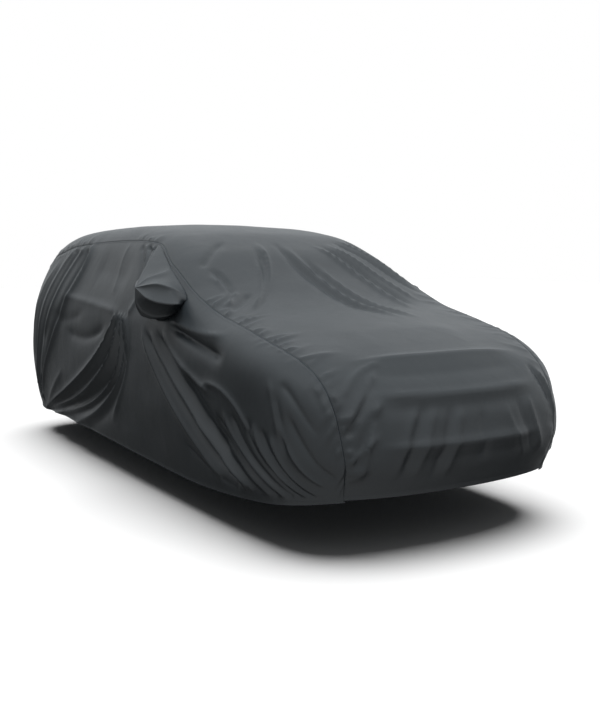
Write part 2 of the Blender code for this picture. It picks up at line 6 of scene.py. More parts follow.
import bpy
import numpy as np
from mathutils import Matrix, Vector

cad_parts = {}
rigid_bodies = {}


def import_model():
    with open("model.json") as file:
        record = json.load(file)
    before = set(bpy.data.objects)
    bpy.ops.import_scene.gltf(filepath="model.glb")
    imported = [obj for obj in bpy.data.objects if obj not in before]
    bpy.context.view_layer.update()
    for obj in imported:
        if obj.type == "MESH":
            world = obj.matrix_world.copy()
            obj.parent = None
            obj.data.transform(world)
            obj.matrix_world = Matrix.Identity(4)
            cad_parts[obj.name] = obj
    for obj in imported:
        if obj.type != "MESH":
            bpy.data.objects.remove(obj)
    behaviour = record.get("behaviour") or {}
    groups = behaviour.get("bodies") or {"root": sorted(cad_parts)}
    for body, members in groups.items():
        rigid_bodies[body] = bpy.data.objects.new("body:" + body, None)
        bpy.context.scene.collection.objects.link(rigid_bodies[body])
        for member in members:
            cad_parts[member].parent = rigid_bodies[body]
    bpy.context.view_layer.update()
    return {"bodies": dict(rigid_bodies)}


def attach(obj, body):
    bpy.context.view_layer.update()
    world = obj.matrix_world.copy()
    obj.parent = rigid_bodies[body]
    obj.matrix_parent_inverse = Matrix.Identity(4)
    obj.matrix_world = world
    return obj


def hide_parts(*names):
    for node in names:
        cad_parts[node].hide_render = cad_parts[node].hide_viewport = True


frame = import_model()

bl_info = {
    "name": "Fitted Car Cover",
    "version": (1, 0, 0),
    "blender": (4, 5, 0),
    "location": "View3D > Sidebar > Car Cover",
    "description": "Makes the panels, mirror pockets and stitching of a fitted car cover",
    "category": "Object",
}

ROOT = next(iter(frame["bodies"]))

# ---------------------------------------------------------------- the form of the car
# Design space: x forward from the middle of the wheelbase, y to the left, z up from the
# ground, in metres.  place() moves it to the frame, whose origin is under the roof.
SHEET = 0.003
ROOF_X = -0.70
ROOF_HEIGHT = 1.630
ORIGIN = np.array([ROOF_X, 0.0, ROOF_HEIGHT - SHEET])
RIGHT, LEFT = -1, 1

FRONT_REACH = 2.175
REAR_REACH = -2.300
FRONT_BOW = 0.185
REAR_BOW = 0.085
BOW_HALF_WIDTH = 0.85
BOW_POWER = 2.4
CROWN_DROP = 0.041
CROWN_HALF_WIDTH = 0.75
SIDE_BLEND = 0.235
END_BLEND = 0.330
RAY_REACH = 2.6                # a ray from inside the form surely leaves it by here
RAY_HALVINGS = 24
TOP_RAY_HEIGHT = 0.7           # rays for the folds of the top and ends start inside here
END_RAY_X = 1.2

Station = namedtuple("Station", "at value")


def table(*rows):
    """A short table of stations, sorted along its first column."""
    return sorted(Station(*row) for row in rows)


# Height of the centre line against x, and half width against height.
PROFILE = table((2.30, .750), (2.12, .865), (1.80, .980), (1.40, 1.085), (1.05, 1.170),
                (0.80, 1.275), (0.45, 1.465), (0.15, 1.565), (-0.20, 1.610),
                (ROOF_X, ROOF_HEIGHT), (-1.25, 1.615), (-1.70, 1.575), (-1.98, 1.510),
                (-2.20, 1.395))
HALF_WIDTH = table((.15, .865), (.35, .905), (.60, .930), (.85, .925), (1.00, .910),
                   (1.15, .870), (1.40, .760), (1.60, .665), (1.75, .575))
PLAN_TAPER = table((-2.4, -.150), (-2.1, -.060), (-1.7, -.015), (-1.3, .005), (0.0, .010),
                   (1.2, .000), (1.6, -.025), (1.9, -.065), (2.1, -.105), (2.4, -.200))
FRONT_LEAN = table((.15, -.130), (.35, -.025), (.50, .025), (.65, .010), (.80, -.035),
                   (.95, -.115), (1.10, -.265))
REAR_LEAN = table((.15, .095), (.40, .015), (.60, .000), (.80, .015), (1.0, .060),
                  (1.2, .120), (1.4, .210), (1.6, .340))

# The run of the top panel: a fan of rays from the front hem over the roof to the rear hem.
FAN_HUB_FRONT = (1.45, 0.55)
FAN_HUB_REAR = (-1.75, 0.85)
FAN_RADIUS = 0.55
FRONT_HEM = 0.30
REAR_HEM = 0.22
RUN_FRONT = FAN_HUB_FRONT[1] - FRONT_HEM
RUN_HUB = FAN_RADIUS * pi / 2
RUN_TOP = FAN_HUB_FRONT[0] - FAN_HUB_REAR[0]
RUN_REAR = FAN_HUB_REAR[1] - REAR_HEM
RUN = RUN_FRONT + 2 * RUN_HUB + RUN_TOP + RUN_REAR
RUN_AT_HUB_FRONT = RUN_FRONT + RUN_HUB
SEAM_HALF_WIDTH = table((0.00, .635), (0.15, .660), (0.30, .680), (0.60, .705),
                        (0.85, .740), (1.15, .760), (1.45, .770), (1.72, .780),
                        (2.10, .760), (2.45, .695), (2.80, .700), (3.60, .715),
                        (4.30, .730), (4.90, .715), (5.50, .690), (RUN, .660))
SIDE_HEM = table((-2.20, REAR_HEM), (-1.80, .200), (-1.30, .225), (-0.50, .220),
                 (0.35, .200), (0.90, .190), (1.35, .210), (1.70, .240), (2.10, FRONT_HEM))
HEM_LEAD = table((0.0, 2.030), (RUN_FRONT, 1.930), (RUN_AT_HUB_FRONT, 1.300),
                 (RUN_AT_HUB_FRONT + RUN_TOP, -1.620), (RUN - RUN_REAR, -2.000),
                 (RUN, -2.170))

# ---------------------------------------------------------------- folds
# A side fold is placed by (x, z), one on the top by (x, y), one on an end by (y, z).  It
# runs through start, via and end.  Height and widths are in millimetres, lean makes one
# flank steeper than the other, and dies says which of its ends fade out.
Fold = namedtuple("Fold", "face start via end height width_start width_end lean dies")
SIDE_FOLDS = (
    # the swag pulled from the front door down to the rear corner of the hem
    Fold("side", (-0.08, 1.03), (-0.62, .640), (-1.78, .220), 21, 9, 16, .3, "none"),
    Fold("side", (-0.05, 1.03), (-0.54, .600), (-1.76, .210), -21, 12, 26, 0, "start"),
    Fold("side", (-0.02, 1.04), (-0.44, .590), (-1.74, .215), 24, 8, 18, -.3, "none"),
    Fold("side", (0.00, 1.02), (-0.35, .560), (-1.70, .205), -32, 14, 40, .2, "start"),
    Fold("side", (0.02, 1.04), (-0.24, .560), (-1.52, .215), 22, 8, 20, -.3, "none"),
    Fold("side", (0.04, 1.01), (-0.15, .580), (-1.26, .215), -25, 13, 40, .2, "start"),
    Fold("side", (0.07, 1.04), (-0.05, .600), (-0.96, .225), 21, 8, 22, -.2, "none"),
    Fold("side", (0.09, 1.00), (0.02, .600), (-0.66, .240), -14, 13, 44, 0, "start"),
    Fold("side", (0.11, 1.03), (0.12, .700), (-0.24, .320), 14, 9, 28, 0, "end"),
    # slack above the swag, towards the rear door
    Fold("side", (-0.22, 0.99), (-0.62, .860), (-1.10, .900), -16, 24, 44, .3, "both"),
    Fold("side", (-0.62, 1.06), (-1.06, .960), (-1.40, 1.02), -8, 34, 50, 0, "both"),
    # the long folds that fall forward from under the mirror
    Fold("side", (0.33, 1.02), (0.67, .695), (1.28, .300), 14, 10, 20, .3, "start"),
    Fold("side", (0.38, 1.01), (0.80, .685), (1.44, .300), -25, 13, 26, 0, "start"),
    Fold("side", (0.45, 1.01), (0.90, .684), (1.52, .290), 22, 10, 20, 0, "start"),
    Fold("side", (0.55, 1.01), (0.92, .735), (1.34, .470), -30, 13, 42, .3, "start"),
    Fold("side", (0.92, 0.80), (1.22, .600), (1.62, .320), -21, 40, 52, 0, "both"),
    Fold("side", (0.64, 1.01), (0.86, .862), (1.19, .745), 18, 10, 22, .3, "start"),
    Fold("side", (1.14, 0.76), (1.49, .700), (1.79, .345), 12, 16, 12, .5, "both"),
    Fold("side", (0.68, 1.04), (1.03, .972), (1.38, .905), -34, 14, 30, .4, "both"),
    Fold("side", (0.70, 1.07), (1.04, 1.02), (1.34, 1.02), 12, 10, 20, .4, "both"),
    # drapes over the front wheel, gathered towards its hem
    Fold("side", (0.98, 0.56), (1.22, .400), (1.50, .290), -10, 14, 9, 0, "start"),
    Fold("side", (1.06, 0.58), (1.28, .420), (1.58, .290), 11, 12, 8, 0, "start"),
    Fold("side", (1.14, 0.60), (1.35, .440), (1.66, .292), -12, 14, 9, 0, "start"),
    Fold("side", (1.22, 0.62), (1.42, .460), (1.72, .294), 12, 12, 8, 0, "start"),
    Fold("side", (1.30, 0.64), (1.48, .470), (1.78, .298), -14, 14, 9, 0, "start"),
    Fold("side", (1.38, 0.66), (1.54, .480), (1.82, .302), 14, 12, 8, 0, "start"),
    Fold("side", (1.46, 0.66), (1.60, .480), (1.86, .306), -15, 14, 9, 0, "start"),
    Fold("side", (1.60, 0.66), (1.69, .480), (1.90, .310), -15, 14, 9, 0, "start"),
    Fold("side", (1.66, 0.64), (1.74, .480), (1.93, .316), 14, 12, 8, 0, "start"),
    Fold("side", (1.72, 0.62), (1.79, .480), (1.95, .320), -12, 14, 9, 0, "start"),
    Fold("side", (1.78, 0.60), (1.84, .470), (1.97, .326), 11, 12, 9, 0, "start"),
    Fold("side", (0.90, 0.42), (1.16, .320), (1.44, .262), -9, 14, 9, 0, "start"),
    # slack between the wheel and the corner seam
    Fold("side", (1.80, 0.84), (1.90, .760), (2.02, .600), -10, 18, 16, .3, "both"),
    Fold("side", (1.82, 0.68), (1.90, .520), (2.00, .380), 9, 13, 12, 0, "start"),
    Fold("side", (1.86, 0.72), (1.96, .560), (2.04, .420), -10, 18, 14, 0, "start"),
    Fold("side", (1.74, 0.86), (1.80, .720), (1.84, .560), 8, 14, 16, 0, "both"),
    Fold("side", (1.78, 0.80), (1.84, .660), (1.88, .480), -9, 18, 20, 0, "both"),
    # the break from the roof rail to the rear corner and the streaks behind it
    Fold("side", (-0.98, 1.46), (-1.07, 1.09), (-1.84, .300), 20, 20, 26, -.4, "none"),
    Fold("side", (-1.06, 1.44), (-1.22, 1.06), (-1.86, .300), -13, 18, 26, 0, "none"),
    Fold("side", (-1.14, 1.44), (-1.40, 1.04), (-1.87, .320), 12, 16, 22, 0, "none"),
    Fold("side", (-1.25, 1.43), (-1.52, 1.02), (-1.90, .340), -11, 18, 24, 0, "none"),
    Fold("side", (-1.36, 1.42), (-1.62, 1.06), (-1.92, .400), 11, 18, 24, 0, "none"),
    Fold("side", (-1.50, 1.41), (-1.76, 1.02), (-1.96, .460), -9, 20, 28, 0, "both"),
    Fold("side", (-1.60, 1.39), (-1.88, 1.00), (-2.02, .500), 8, 22, 30, 0, "both"),
    Fold("side", (-1.45, 0.90), (-1.70, .600), (-1.80, .300), -9, 22, 22, 0, "start"),
    Fold("side", (-1.10, 0.60), (-1.40, .420), (-1.78, .215), 8, 30, 16, 0, "start"),
    Fold("side", (-0.90, 0.40), (-1.30, .270), (-1.74, .205), -7, 30, 14, 0, "start"),
    # the belt line under the windows, and the slack windows
    Fold("side", (-1.34, 1.13), (-0.60, 1.100), (0.06, 1.055), 12, 42, 30, .5, "both"),
    Fold("side", (-0.72, 1.32), (-0.40, 1.30), (-0.02, 1.26), -9, 90, 90, 0, "both"),
    Fold("side", (-0.30, 1.46), (-0.28, 1.30), (-0.22, 1.16), 4, 18, 26, 0, "end"),
    Fold("side", (-0.07, 1.465), (0.04, 1.38), (0.18, 1.20), -10, 12, 18, 0, "end"),
    Fold("side", (-0.02, 1.465), (0.10, 1.38), (0.24, 1.20), 14, 9, 15, 0, "end"),
    Fold("side", (0.03, 1.465), (0.14, 1.40), (0.24, 1.28), -17, 10, 14, 0, "end"),
    Fold("side", (0.08, 1.460), (0.145, 1.425), (0.22, 1.35), 14, 8, 10, 0, "end"),
    Fold("side", (0.11, 1.460), (0.18, 1.43), (0.24, 1.38), -12, 8, 9, 0, "end"),
    Fold("side", (0.20, 1.19), (0.16, 1.12), (0.10, 1.05), 9, 14, 20, 0, "both"),
)
TOP_FOLDS = (
    # sagging folds across the windscreen
    Fold("top", (0.34, -0.03), (0.84, -0.02), (1.44, 0.14), -13, 11, 18, .4, "both"),
    Fold("top", (0.42, 0.01), (0.90, 0.04), (1.45, 0.18), 17, 9, 16, 0, "both"),
    Fold("top", (0.54, 0.06), (0.98, 0.11), (1.45, 0.25), -11, 11, 18, 0, "both"),
    Fold("top", (0.60, 0.10), (1.02, 0.17), (1.45, 0.31), 10, 9, 15, 0, "both"),
    Fold("top", (0.38, 0.22), (0.76, 0.35), (1.26, 0.43), 14, 9, 16, 0, "both"),
    Fold("top", (0.38, 0.28), (0.74, 0.42), (1.20, 0.50), -13, 11, 18, .4, "both"),
    Fold("top", (0.36, 0.34), (0.70, 0.50), (1.10, 0.60), 12, 9, 15, 0, "both"),
    Fold("top", (0.30, 0.42), (0.62, 0.59), (0.96, 0.74), -12, 11, 17, 0, "both"),
    Fold("top", (0.26, 0.48), (0.54, 0.64), (0.84, 0.77), 10, 9, 14, 0, "both"),
    Fold("top", (0.22, 0.56), (0.46, 0.68), (0.68, 0.78), -12, 14, 20, 0, "both"),
    Fold("top", (0.34, -0.17), (0.74, -0.28), (1.18, -0.69), 15, 9, 14, 0, "both"),
    Fold("top", (0.42, -0.21), (0.80, -0.33), (1.17, -0.64), -14, 11, 16, .3, "both"),
    Fold("top", (0.56, -0.26), (0.86, -0.41), (1.12, -0.60), 14, 11, 15, 0, "both"),
    Fold("top", (0.33, -0.37), (0.50, -0.54), (0.62, -0.66), -12, 13, 15, 0, "both"),
    Fold("top", (0.62, -0.62), (0.80, -0.58), (1.02, -0.68), -14, 12, 15, .4, "both"),
    Fold("top", (0.68, -0.66), (0.86, -0.62), (1.06, -0.72), 12, 10, 13, 0, "both"),
    Fold("top", (0.86, -0.56), (0.96, -0.64), (1.02, -0.72), 12, 10, 12, 0, "both"),
    Fold("top", (0.90, -0.50), (1.00, -0.60), (1.08, -0.72), -12, 11, 14, 0, "both"),
    # hollow at the foot of the windscreen and the bulge of the bonnet
    Fold("top", (1.22, -0.60), (1.16, 0.00), (1.22, 0.60), -9, 110, 110, 0, "both"),
    Fold("top", (1.62, -0.45), (1.60, 0.00), (1.62, 0.45), 7, 200, 200, 0, "both"),
    # bonnet edge, and the cloth drawn in under it
    Fold("top", (1.880, -0.54), (1.928, 0.02), (1.880, 0.62), 17, 34, 34, .5, "both"),
    # slack at the far roof rail and the rear of the roof
    Fold("top", (-1.20, -0.30), (-1.55, -0.10), (-1.90, 0.05), -6, 50, 50, 0, "both"),
    Fold("top", (-0.60, 0.62), (-1.10, 0.58), (-1.70, 0.62), 6, 24, 32, 0, "both"),
)
FRONT_FOLDS = (
    Fold("front", (-0.56, 0.870), (0.00, 0.862), (0.58, 0.868), -10, 50, 50, 0, "both"),
    # the edges over the lamps and the bumper, and the hollows under them
    Fold("front", (-0.60, 0.785), (0.00, 0.768), (0.60, 0.778), 17, 32, 32, .5, "both"),
    Fold("front", (-0.56, 0.725), (0.00, 0.710), (0.56, 0.720), -10, 44, 44, 0, "both"),
    Fold("front", (-0.56, 0.545), (0.00, 0.540), (0.54, 0.540), 19, 32, 32, .5, "both"),
    Fold("front", (-0.54, 0.480), (0.00, 0.470), (0.52, 0.475), -12, 50, 50, 0, "both"),
    # streaks that hang from the lamp line
    Fold("front", (-0.27, 0.740), (-0.37, .580), (-0.42, .380), 9, 13, 18, 0, "both"),
    Fold("front", (-0.23, 0.740), (-0.33, .575), (-0.385, .380), -8, 15, 22, 0, "both"),
    Fold("front", (-0.18, 0.730), (-0.26, .570), (-0.32, .380), 8, 12, 17, 0, "both"),
    Fold("front", (-0.08, 0.720), (-0.15, .570), (-0.22, .350), -9, 15, 24, 0, "both"),
    Fold("front", (-0.03, 0.710), (-0.09, .570), (-0.15, .350), 9, 12, 20, 0, "both"),
    Fold("front", (0.10, 0.700), (0.08, .570), (0.10, .420), -6, 16, 22, 0, "both"),
    Fold("front", (0.26, 0.700), (0.30, .550), (0.41, .400), 8, 14, 20, 0, "both"),
    Fold("front", (0.36, 0.720), (0.39, .580), (0.48, .400), -8, 15, 20, 0, "both"),
    Fold("front", (0.44, 0.730), (0.47, .580), (0.55, .400), 8, 12, 18, 0, "both"),
    # the gathered right corner and the far one
    Fold("front", (-0.45, 0.760), (-0.54, .640), (-0.60, .360), 17, 11, 15, 0, "both"),
    Fold("front", (-0.49, 0.720), (-0.57, .600), (-0.62, .420), -17, 14, 17, 0, "both"),
    Fold("front", (-0.40, 0.900), (-0.53, .790), (-0.63, .680), 15, 10, 11, 0, "start"),
    Fold("front", (-0.46, 0.860), (-0.56, .740), (-0.64, .630), -17, 14, 15, 0, "start"),
    Fold("front", (-0.50, 0.620), (-0.58, .540), (-0.64, .490), 14, 10, 11, 0, "start"),
    Fold("front", (-0.34, 0.910), (-0.50, .880), (-0.62, .800), 12, 11, 12, 0, "start"),
    Fold("front", (0.56, 0.860), (0.62, .760), (0.66, .600), -12, 13, 17, 0, "both"),
    Fold("front", (0.60, 0.840), (0.66, .720), (0.67, .540), 11, 11, 14, 0, "both"),
)
REAR_FOLDS = (
    Fold("rear", (-0.60, 1.02), (0.00, 1.00), (0.60, 1.02), 9, 40, 40, .3, "both"),
    Fold("rear", (-0.55, 0.88), (0.00, 0.85), (0.55, 0.88), -9, 60, 60, 0, "both"),
    Fold("rear", (-0.60, 0.62), (0.00, 0.60), (0.60, 0.61), 8, 34, 34, .3, "both"),
    Fold("rear", (-0.52, 0.50), (0.00, 0.48), (0.52, 0.50), -8, 50, 50, 0, "both"),
    Fold("rear", (-0.46, 1.24), (-0.36, 0.98), (-0.34, 0.66), 7, 30, 46, 0, "both"),
    Fold("rear", (-0.20, 1.18), (-0.14, 0.94), (-0.20, 0.66), -6, 34, 46, 0, "both"),
    Fold("rear", (0.34, 1.26), (0.26, 0.96), (0.30, 0.64), 7, 34, 46, 0, "both"),
    Fold("rear", (0.52, 1.16), (0.48, 0.92), (0.56, 0.60), -6, 26, 38, 0, "both"),
    Fold("rear", (-0.58, 0.90), (-0.52, 0.60), (-0.58, 0.30), 7, 24, 30, 0, "start"),
    Fold("rear", (0.56, 0.56), (0.50, 0.42), (0.40, 0.24), -6, 24, 30, 0, "start"),
)
FOLD_POINTS = 24
FOLD_REACH = 4.5               # a fold has died out this many widths from its line
FOLD_TAIL = 3.0
FOLD_FADE = 0.22               # a dying end fades over this share of the fold
FOLD_GAIN = 1.15               # all the folds are this much fuller than their tables say
RIDGE_CREST = 0.16             # how round a fold is at its line: ridges are sharper
TROUGH_CREST = 0.42
HEM_HOLD = 0.35                # the share of a fold's height that its hem keeps
HEM_FREE = 0.16                # and the height over the hem where it is free

# Short puckers where the cloth is gathered along a seam: a row for each stretch of it, by
# its run from the front hem.  They lie on the top panel or the side, up to reach long;
# other is the share of their height on the left of the car.
PUCKER_START = 0.022           # puckers rise over this distance from the seam
PUCKER_END = 0.03
Puckers = namedtuple("Puckers", "panel start end count reach height width slant other")
PUCKERS = (
    Puckers("top", 0.62, 1.66, 16, 0.240, 13.0, 8, 0.070, 0.40),
    Puckers("top", 0.06, 0.60, 11, 0.140, 11.0, 8, 0.040, 0.35),
    Puckers("side", 0.06, 0.62, 10, 0.130, 10.0, 9, -0.030, 0.35),
    Puckers("side", 0.62, 1.10, 7, 0.090, 4.0, 12, 0.020, 1.00),
    Puckers("top", 3.60, 4.70, 22, 0.110, 5.0, 12, 0.050, 1.00),
    Puckers("top", 2.46, 2.80, 7, 0.100, 5.0, 12, 0.030, 1.00),
    Puckers("side", 3.60, 4.80, 16, 0.090, 4.0, 14, -0.030, 1.00),
    Puckers("top", 4.80, 5.70, 14, 0.080, 3.5, 14, 0.030, 1.00),
)

# ---------------------------------------------------------------- mirror pocket
# The pocket is a small tent over the mirror: its ribs run from the rim on the body to the
# tip.  A row for each rib, in order around the rim: where it starts (x, z), the points it
# passes (x, y out, z), how round it is (0 a sharp ridge, 1 smooth) and how many
# millimetres the cloth sinks between it and the next rib.
Rib = namedtuple("Rib", "name rim by round sink")
POCKET_RIBS = (
    Rib("apex_ridge", (0.135, 1.478), ((0.342, 0.882, 1.352),), 0.0, 24),
    Rib("pillar_ridge", (0.470, 1.338), ((0.528, 0.868, 1.314), (0.548, 0.960, 1.289)), 0.0, 20),
    Rib("brow", (0.750, 1.205), ((0.772, 0.908, 1.240), (0.716, 0.980, 1.264)), 0.2, 22),
    Rib("lower_edge", (0.785, 1.155),
        ((0.850, 0.932, 1.157), (0.798, 1.002, 1.166), (0.716, 1.046, 1.194)), 0.0, 10),
    Rib("sole_front", (0.760, 1.104),
        ((0.740, 0.915, 1.090), (0.672, 0.968, 1.078), (0.618, 1.030, 1.110),
         (0.598, 1.056, 1.172)), 0.3, -4),
    Rib("sole_rear", (0.610, 1.062),
        ((0.606, 0.955, 1.066), (0.590, 1.008, 1.082), (0.582, 1.050, 1.162)), 1.0, -3),
    Rib("back_low", (0.420, 1.085),
        ((0.492, 0.975, 1.092), (0.545, 1.032, 1.165)), 1.0, 6),
    Rib("back_middle", (0.285, 1.195),
        ((0.425, 0.978, 1.170), (0.515, 1.022, 1.212)), 1.0, 8),
    Rib("back_high", (0.185, 1.350), ((0.350, 0.930, 1.278), (0.480, 1.002, 1.262)), 0.6, 10),
)
POCKET_TIP = (0.585, 1.050, 1.242)
POCKET_HEART = (0.50, 0.80, 1.20)      # the cloth sinks towards here between its ribs
POCKET_SPAN_STEPS = 16
RIB_CREST = 0.0045             # a sharp rib stands out this much, over this share of the
RIB_CREST_SPAN = 0.07          # way to the next
POCKET_RIB_STEPS = 72
# The left mirror is folded back: its pocket hangs closer to the body and further back.
FOLDED_SHIFT = 0.90
FOLDED_SHARE = 0.42

# ---------------------------------------------------------------- sewing
HEM_WIDTH = 0.024
HEM_STITCH = 0.019
HEM_FLARE = 0.004
SEAM_STITCH = 0.006
STITCH_PROUD = 0.0002
TOP_WIDTH = 1.48
RIM_REACH = 0.03               # edges of the side panel this close to a pocket's rim join it
LEAST_AREA = 1e-9
# Distances from a seam or hem at which the mesh has rows, before its even rows begin.
EDGE_ROWS = (0.0, 0.002, 0.004, SEAM_STITCH, 0.009, 0.013, HEM_STITCH, 0.022, 0.026, 0.034)
GROUND = -ORIGIN[2]

FLOOR_SIZE = 60
CAMERA_LENS = 46.71
CAMERA_SHIFT = 0.0096
CAMERA_PLACE = (6.218, -3.046, -0.183)
CAMERA_HEADING, CAMERA_PITCH = 2.584, -0.125

# Where the lights stand, and the studio's two glows: each is brightest along its axis and
# falls off between two cosines of the angle from it.
KEY_FROM = (-0.08, 0.04, 1.00)
FILL_SPREAD = radians(70)
FILL_FROM = (0.80, -0.35, 0.60)
Glow = namedtuple("Glow", "axis start end strength")
GLOWS = (Glow((-0.34, 0.40, 0.87), -0.16, 0.66, 0.72),
         Glow((0.80, -0.58, -0.12), -0.35, 0.58, 0.66))
GLOW_LEAST = 0.03              # what each glow gives on its dark side
GLOW_DIFFUSE = 0.07            # the share of the glow that lights the cloth's own colour


class CoverSettings(bpy.types.PropertyGroup):
    thickness: bpy.props.FloatProperty(
        name="Cloth thickness", description="Thickness of the coated cloth",
        default=0.0012, unit="LENGTH")
    top_columns: bpy.props.IntProperty(
        name="Top columns", description="Even steps across the top panel", default=88)
    run_step: bpy.props.FloatProperty(
        name="Run step", description="Longest step along the seams", default=0.0135,
        unit="LENGTH")
    side_rows: bpy.props.IntProperty(
        name="Side rows", description="Even steps from the seam to the hem", default=84)
    cloth_colour: bpy.props.FloatVectorProperty(
        name="Cloth colour", description="Colour of the woven polyester", subtype="COLOR",
        size=4, default=(0.031, 0.0375, 0.0425, 1.0), min=0, max=1)
    thread_colour: bpy.props.FloatVectorProperty(
        name="Thread colour", description="Colour of the sewing thread", subtype="COLOR",
        size=4, default=(0.060, 0.064, 0.068, 1.0), min=0, max=1)
    stitch_pitch: bpy.props.FloatProperty(
        name="Stitch pitch", description="From one stitch to the next", default=0.0075,
        unit="LENGTH")
    stitch_length: bpy.props.FloatProperty(
        name="Stitch length", description="Length of one stitch", default=0.0052,
        unit="LENGTH")
    stitch_radius: bpy.props.FloatProperty(
        name="Stitch radius", description="Radius of the thread", default=0.0007,
        unit="LENGTH")


class StageSettings(bpy.types.PropertyGroup):
    floor_colour: bpy.props.FloatVectorProperty(
        name="Floor colour", description="Colour of the studio floor", subtype="COLOR",
        size=4, default=(0.90, 0.90, 0.90, 1.0), min=0, max=1)
    key_strength: bpy.props.FloatProperty(
        name="Key light", description="Strength of the broad light from above", default=3.85)
    key_spread: bpy.props.FloatProperty(
        name="Key spread", description="Angle that the broad light fills",
        default=radians(58), subtype="ANGLE")
    fill_strength: bpy.props.FloatProperty(
        name="Fill light", description="Strength of the light from the front", default=0.12)
    sky: bpy.props.FloatProperty(
        name="Studio glow", description="Light from the studio walls", default=1.0)


# ---------------------------------------------------------------- curves
def smooth_curve(rows):
    """Monotone cubic through a table's stations, as a function of arrays."""
    at = np.array([row.at for row in rows])
    value = np.array([row.value for row in rows])
    step = np.diff(at)
    slope = np.diff(value) / step
    tangent = np.zeros_like(value)
    tangent[0], tangent[-1] = slope[0], slope[-1]
    both = slope[:-1] * slope[1:] > 0
    w1 = 2 * step[1:] + step[:-1]
    w2 = step[1:] + 2 * step[:-1]
    inner = np.zeros(len(at) - 2)
    inner[both] = ((w1 + w2)[both]
                   / (w1[both] / slope[:-1][both] + w2[both] / slope[1:][both]))
    tangent[1:-1] = inner

    def read(x, slope_only=False):
        x = np.clip(np.asarray(x, float), at[0], at[-1])
        i = np.clip(np.searchsorted(at, x, side="right") - 1, 0, len(step) - 1)
        h = step[i]
        t = (x - at[i]) / h
        if slope_only:
            return ((6 * t * t - 6 * t) * (value[i] - value[i + 1]) / h
                    + (3 * t * t - 4 * t + 1) * tangent[i]
                    + (3 * t * t - 2 * t) * tangent[i + 1])
        return ((2 * t ** 3 - 3 * t * t + 1) * value[i]
                + (t ** 3 - 2 * t * t + t) * h * tangent[i]
                + (3 * t * t - 2 * t ** 3) * value[i + 1]
                + (t ** 3 - t * t) * h * tangent[i + 1])
    return read


profile = smooth_curve(PROFILE)
half_width = smooth_curve(HALF_WIDTH)
plan_taper = smooth_curve(PLAN_TAPER)
front_lean = smooth_curve(FRONT_LEAN)
rear_lean = smooth_curve(REAR_LEAN)
seam_half_width = smooth_curve(SEAM_HALF_WIDTH)
side_hem = smooth_curve(SIDE_HEM)
hem_lead = smooth_curve(HEM_LEAD)


def ease(x, start, end):
    """0 before start, 1 after end, with a smooth step between them."""
    t = np.clip((x - start) / (end - start), 0, 1)
    return t * t * (3 - 2 * t)


# ---------------------------------------------------------------- the form under the cloth
def blend_max(a, b, size):
    """The larger of two distances, with a round edge of the given size between them."""
    near = np.maximum(size - np.abs(a - b), 0.0) / size
    return np.maximum(a, b) + near ** 3 * size / 6


def form(p):
    """Roughly the distance of points outside the smooth form, negative inside it."""
    x, y, z = p[..., 0], np.abs(p[..., 1]), p[..., 2]
    side = y - half_width(z) - plan_taper(x)
    slope = profile(x, slope_only=True)
    top = (z - profile(x) + CROWN_DROP * (y / CROWN_HALF_WIDTH) ** 2) / np.sqrt(1 + slope ** 2)
    bow = (y / BOW_HALF_WIDTH) ** BOW_POWER
    front = x - FRONT_REACH - front_lean(z) + FRONT_BOW * bow
    rear = REAR_REACH + rear_lean(z) + REAR_BOW * bow - x
    return blend_max(blend_max(side, top, SIDE_BLEND), np.maximum(front, rear), END_BLEND)


def settle(start, direction):
    """Follow rays that start inside the form out to its surface."""
    start, direction = np.broadcast_arrays(np.asarray(start, float),
                                           np.asarray(direction, float))
    near = np.zeros(start.shape[:-1])
    far = np.full(start.shape[:-1], RAY_REACH)
    for _ in range(RAY_HALVINGS):
        middle = (near + far) / 2
        inside = form(start + direction * middle[..., None]) < 0
        near = np.where(inside, middle, near)
        far = np.where(inside, far, middle)
    return start + direction * near[..., None]


def outward(p):
    """Unit normals of the form."""
    step = 0.004
    gradient = np.stack([form(p + step * axis) - form(p - step * axis) for axis in np.eye(3)], -1)
    return gradient / np.linalg.norm(gradient, axis=-1, keepdims=True)


# ---------------------------------------------------------------- folds in the cloth
def fold_line(fold, hand):
    """The line of a fold laid on the form; hand is -1 for the right side, 1 for the left."""
    t = np.linspace(0, 1, FOLD_POINTS)[:, None]
    start, via, end = (np.array(point) for point in (fold.start, fold.via, fold.end))
    plan = ((1 - t) * (1 - 2 * t) * start + 4 * t * (1 - t) * via + t * (2 * t - 1) * end)
    a, b = plan[:, 0], plan[:, 1]
    zero = np.zeros_like(a)
    if fold.face == "side":
        return settle(np.stack([a, zero, b], -1), (0, hand, 0))
    if fold.face == "top":
        return settle(np.stack([a, b, zero + TOP_RAY_HEIGHT], -1), (0, 0, 1))
    forward = 1 if fold.face == "front" else -1
    return settle(np.stack([zero + forward * END_RAY_X, a, b], -1), (forward, 0, 0))


def nearest_on_line(p, line):
    """Distance of points from a line, the share along it, and the offset from it."""
    best = np.full(len(p), 9.0)
    along = np.zeros(len(p))
    offset = np.zeros_like(p)
    run_of = np.zeros_like(p)
    for i, (a, b) in enumerate(zip(line[:-1], line[1:])):
        run = b - a
        t = np.clip((p - a) @ run / (run @ run), 0, 1)
        gap = p - a - t[:, None] * run
        distance = np.linalg.norm(gap, axis=1)
        closer = distance < best
        best[closer] = distance[closer]
        along[closer] = (i + t[closer]) / (len(line) - 1)
        offset[closer] = gap[closer]
        run_of[closer] = run
    return best, along, offset, run_of


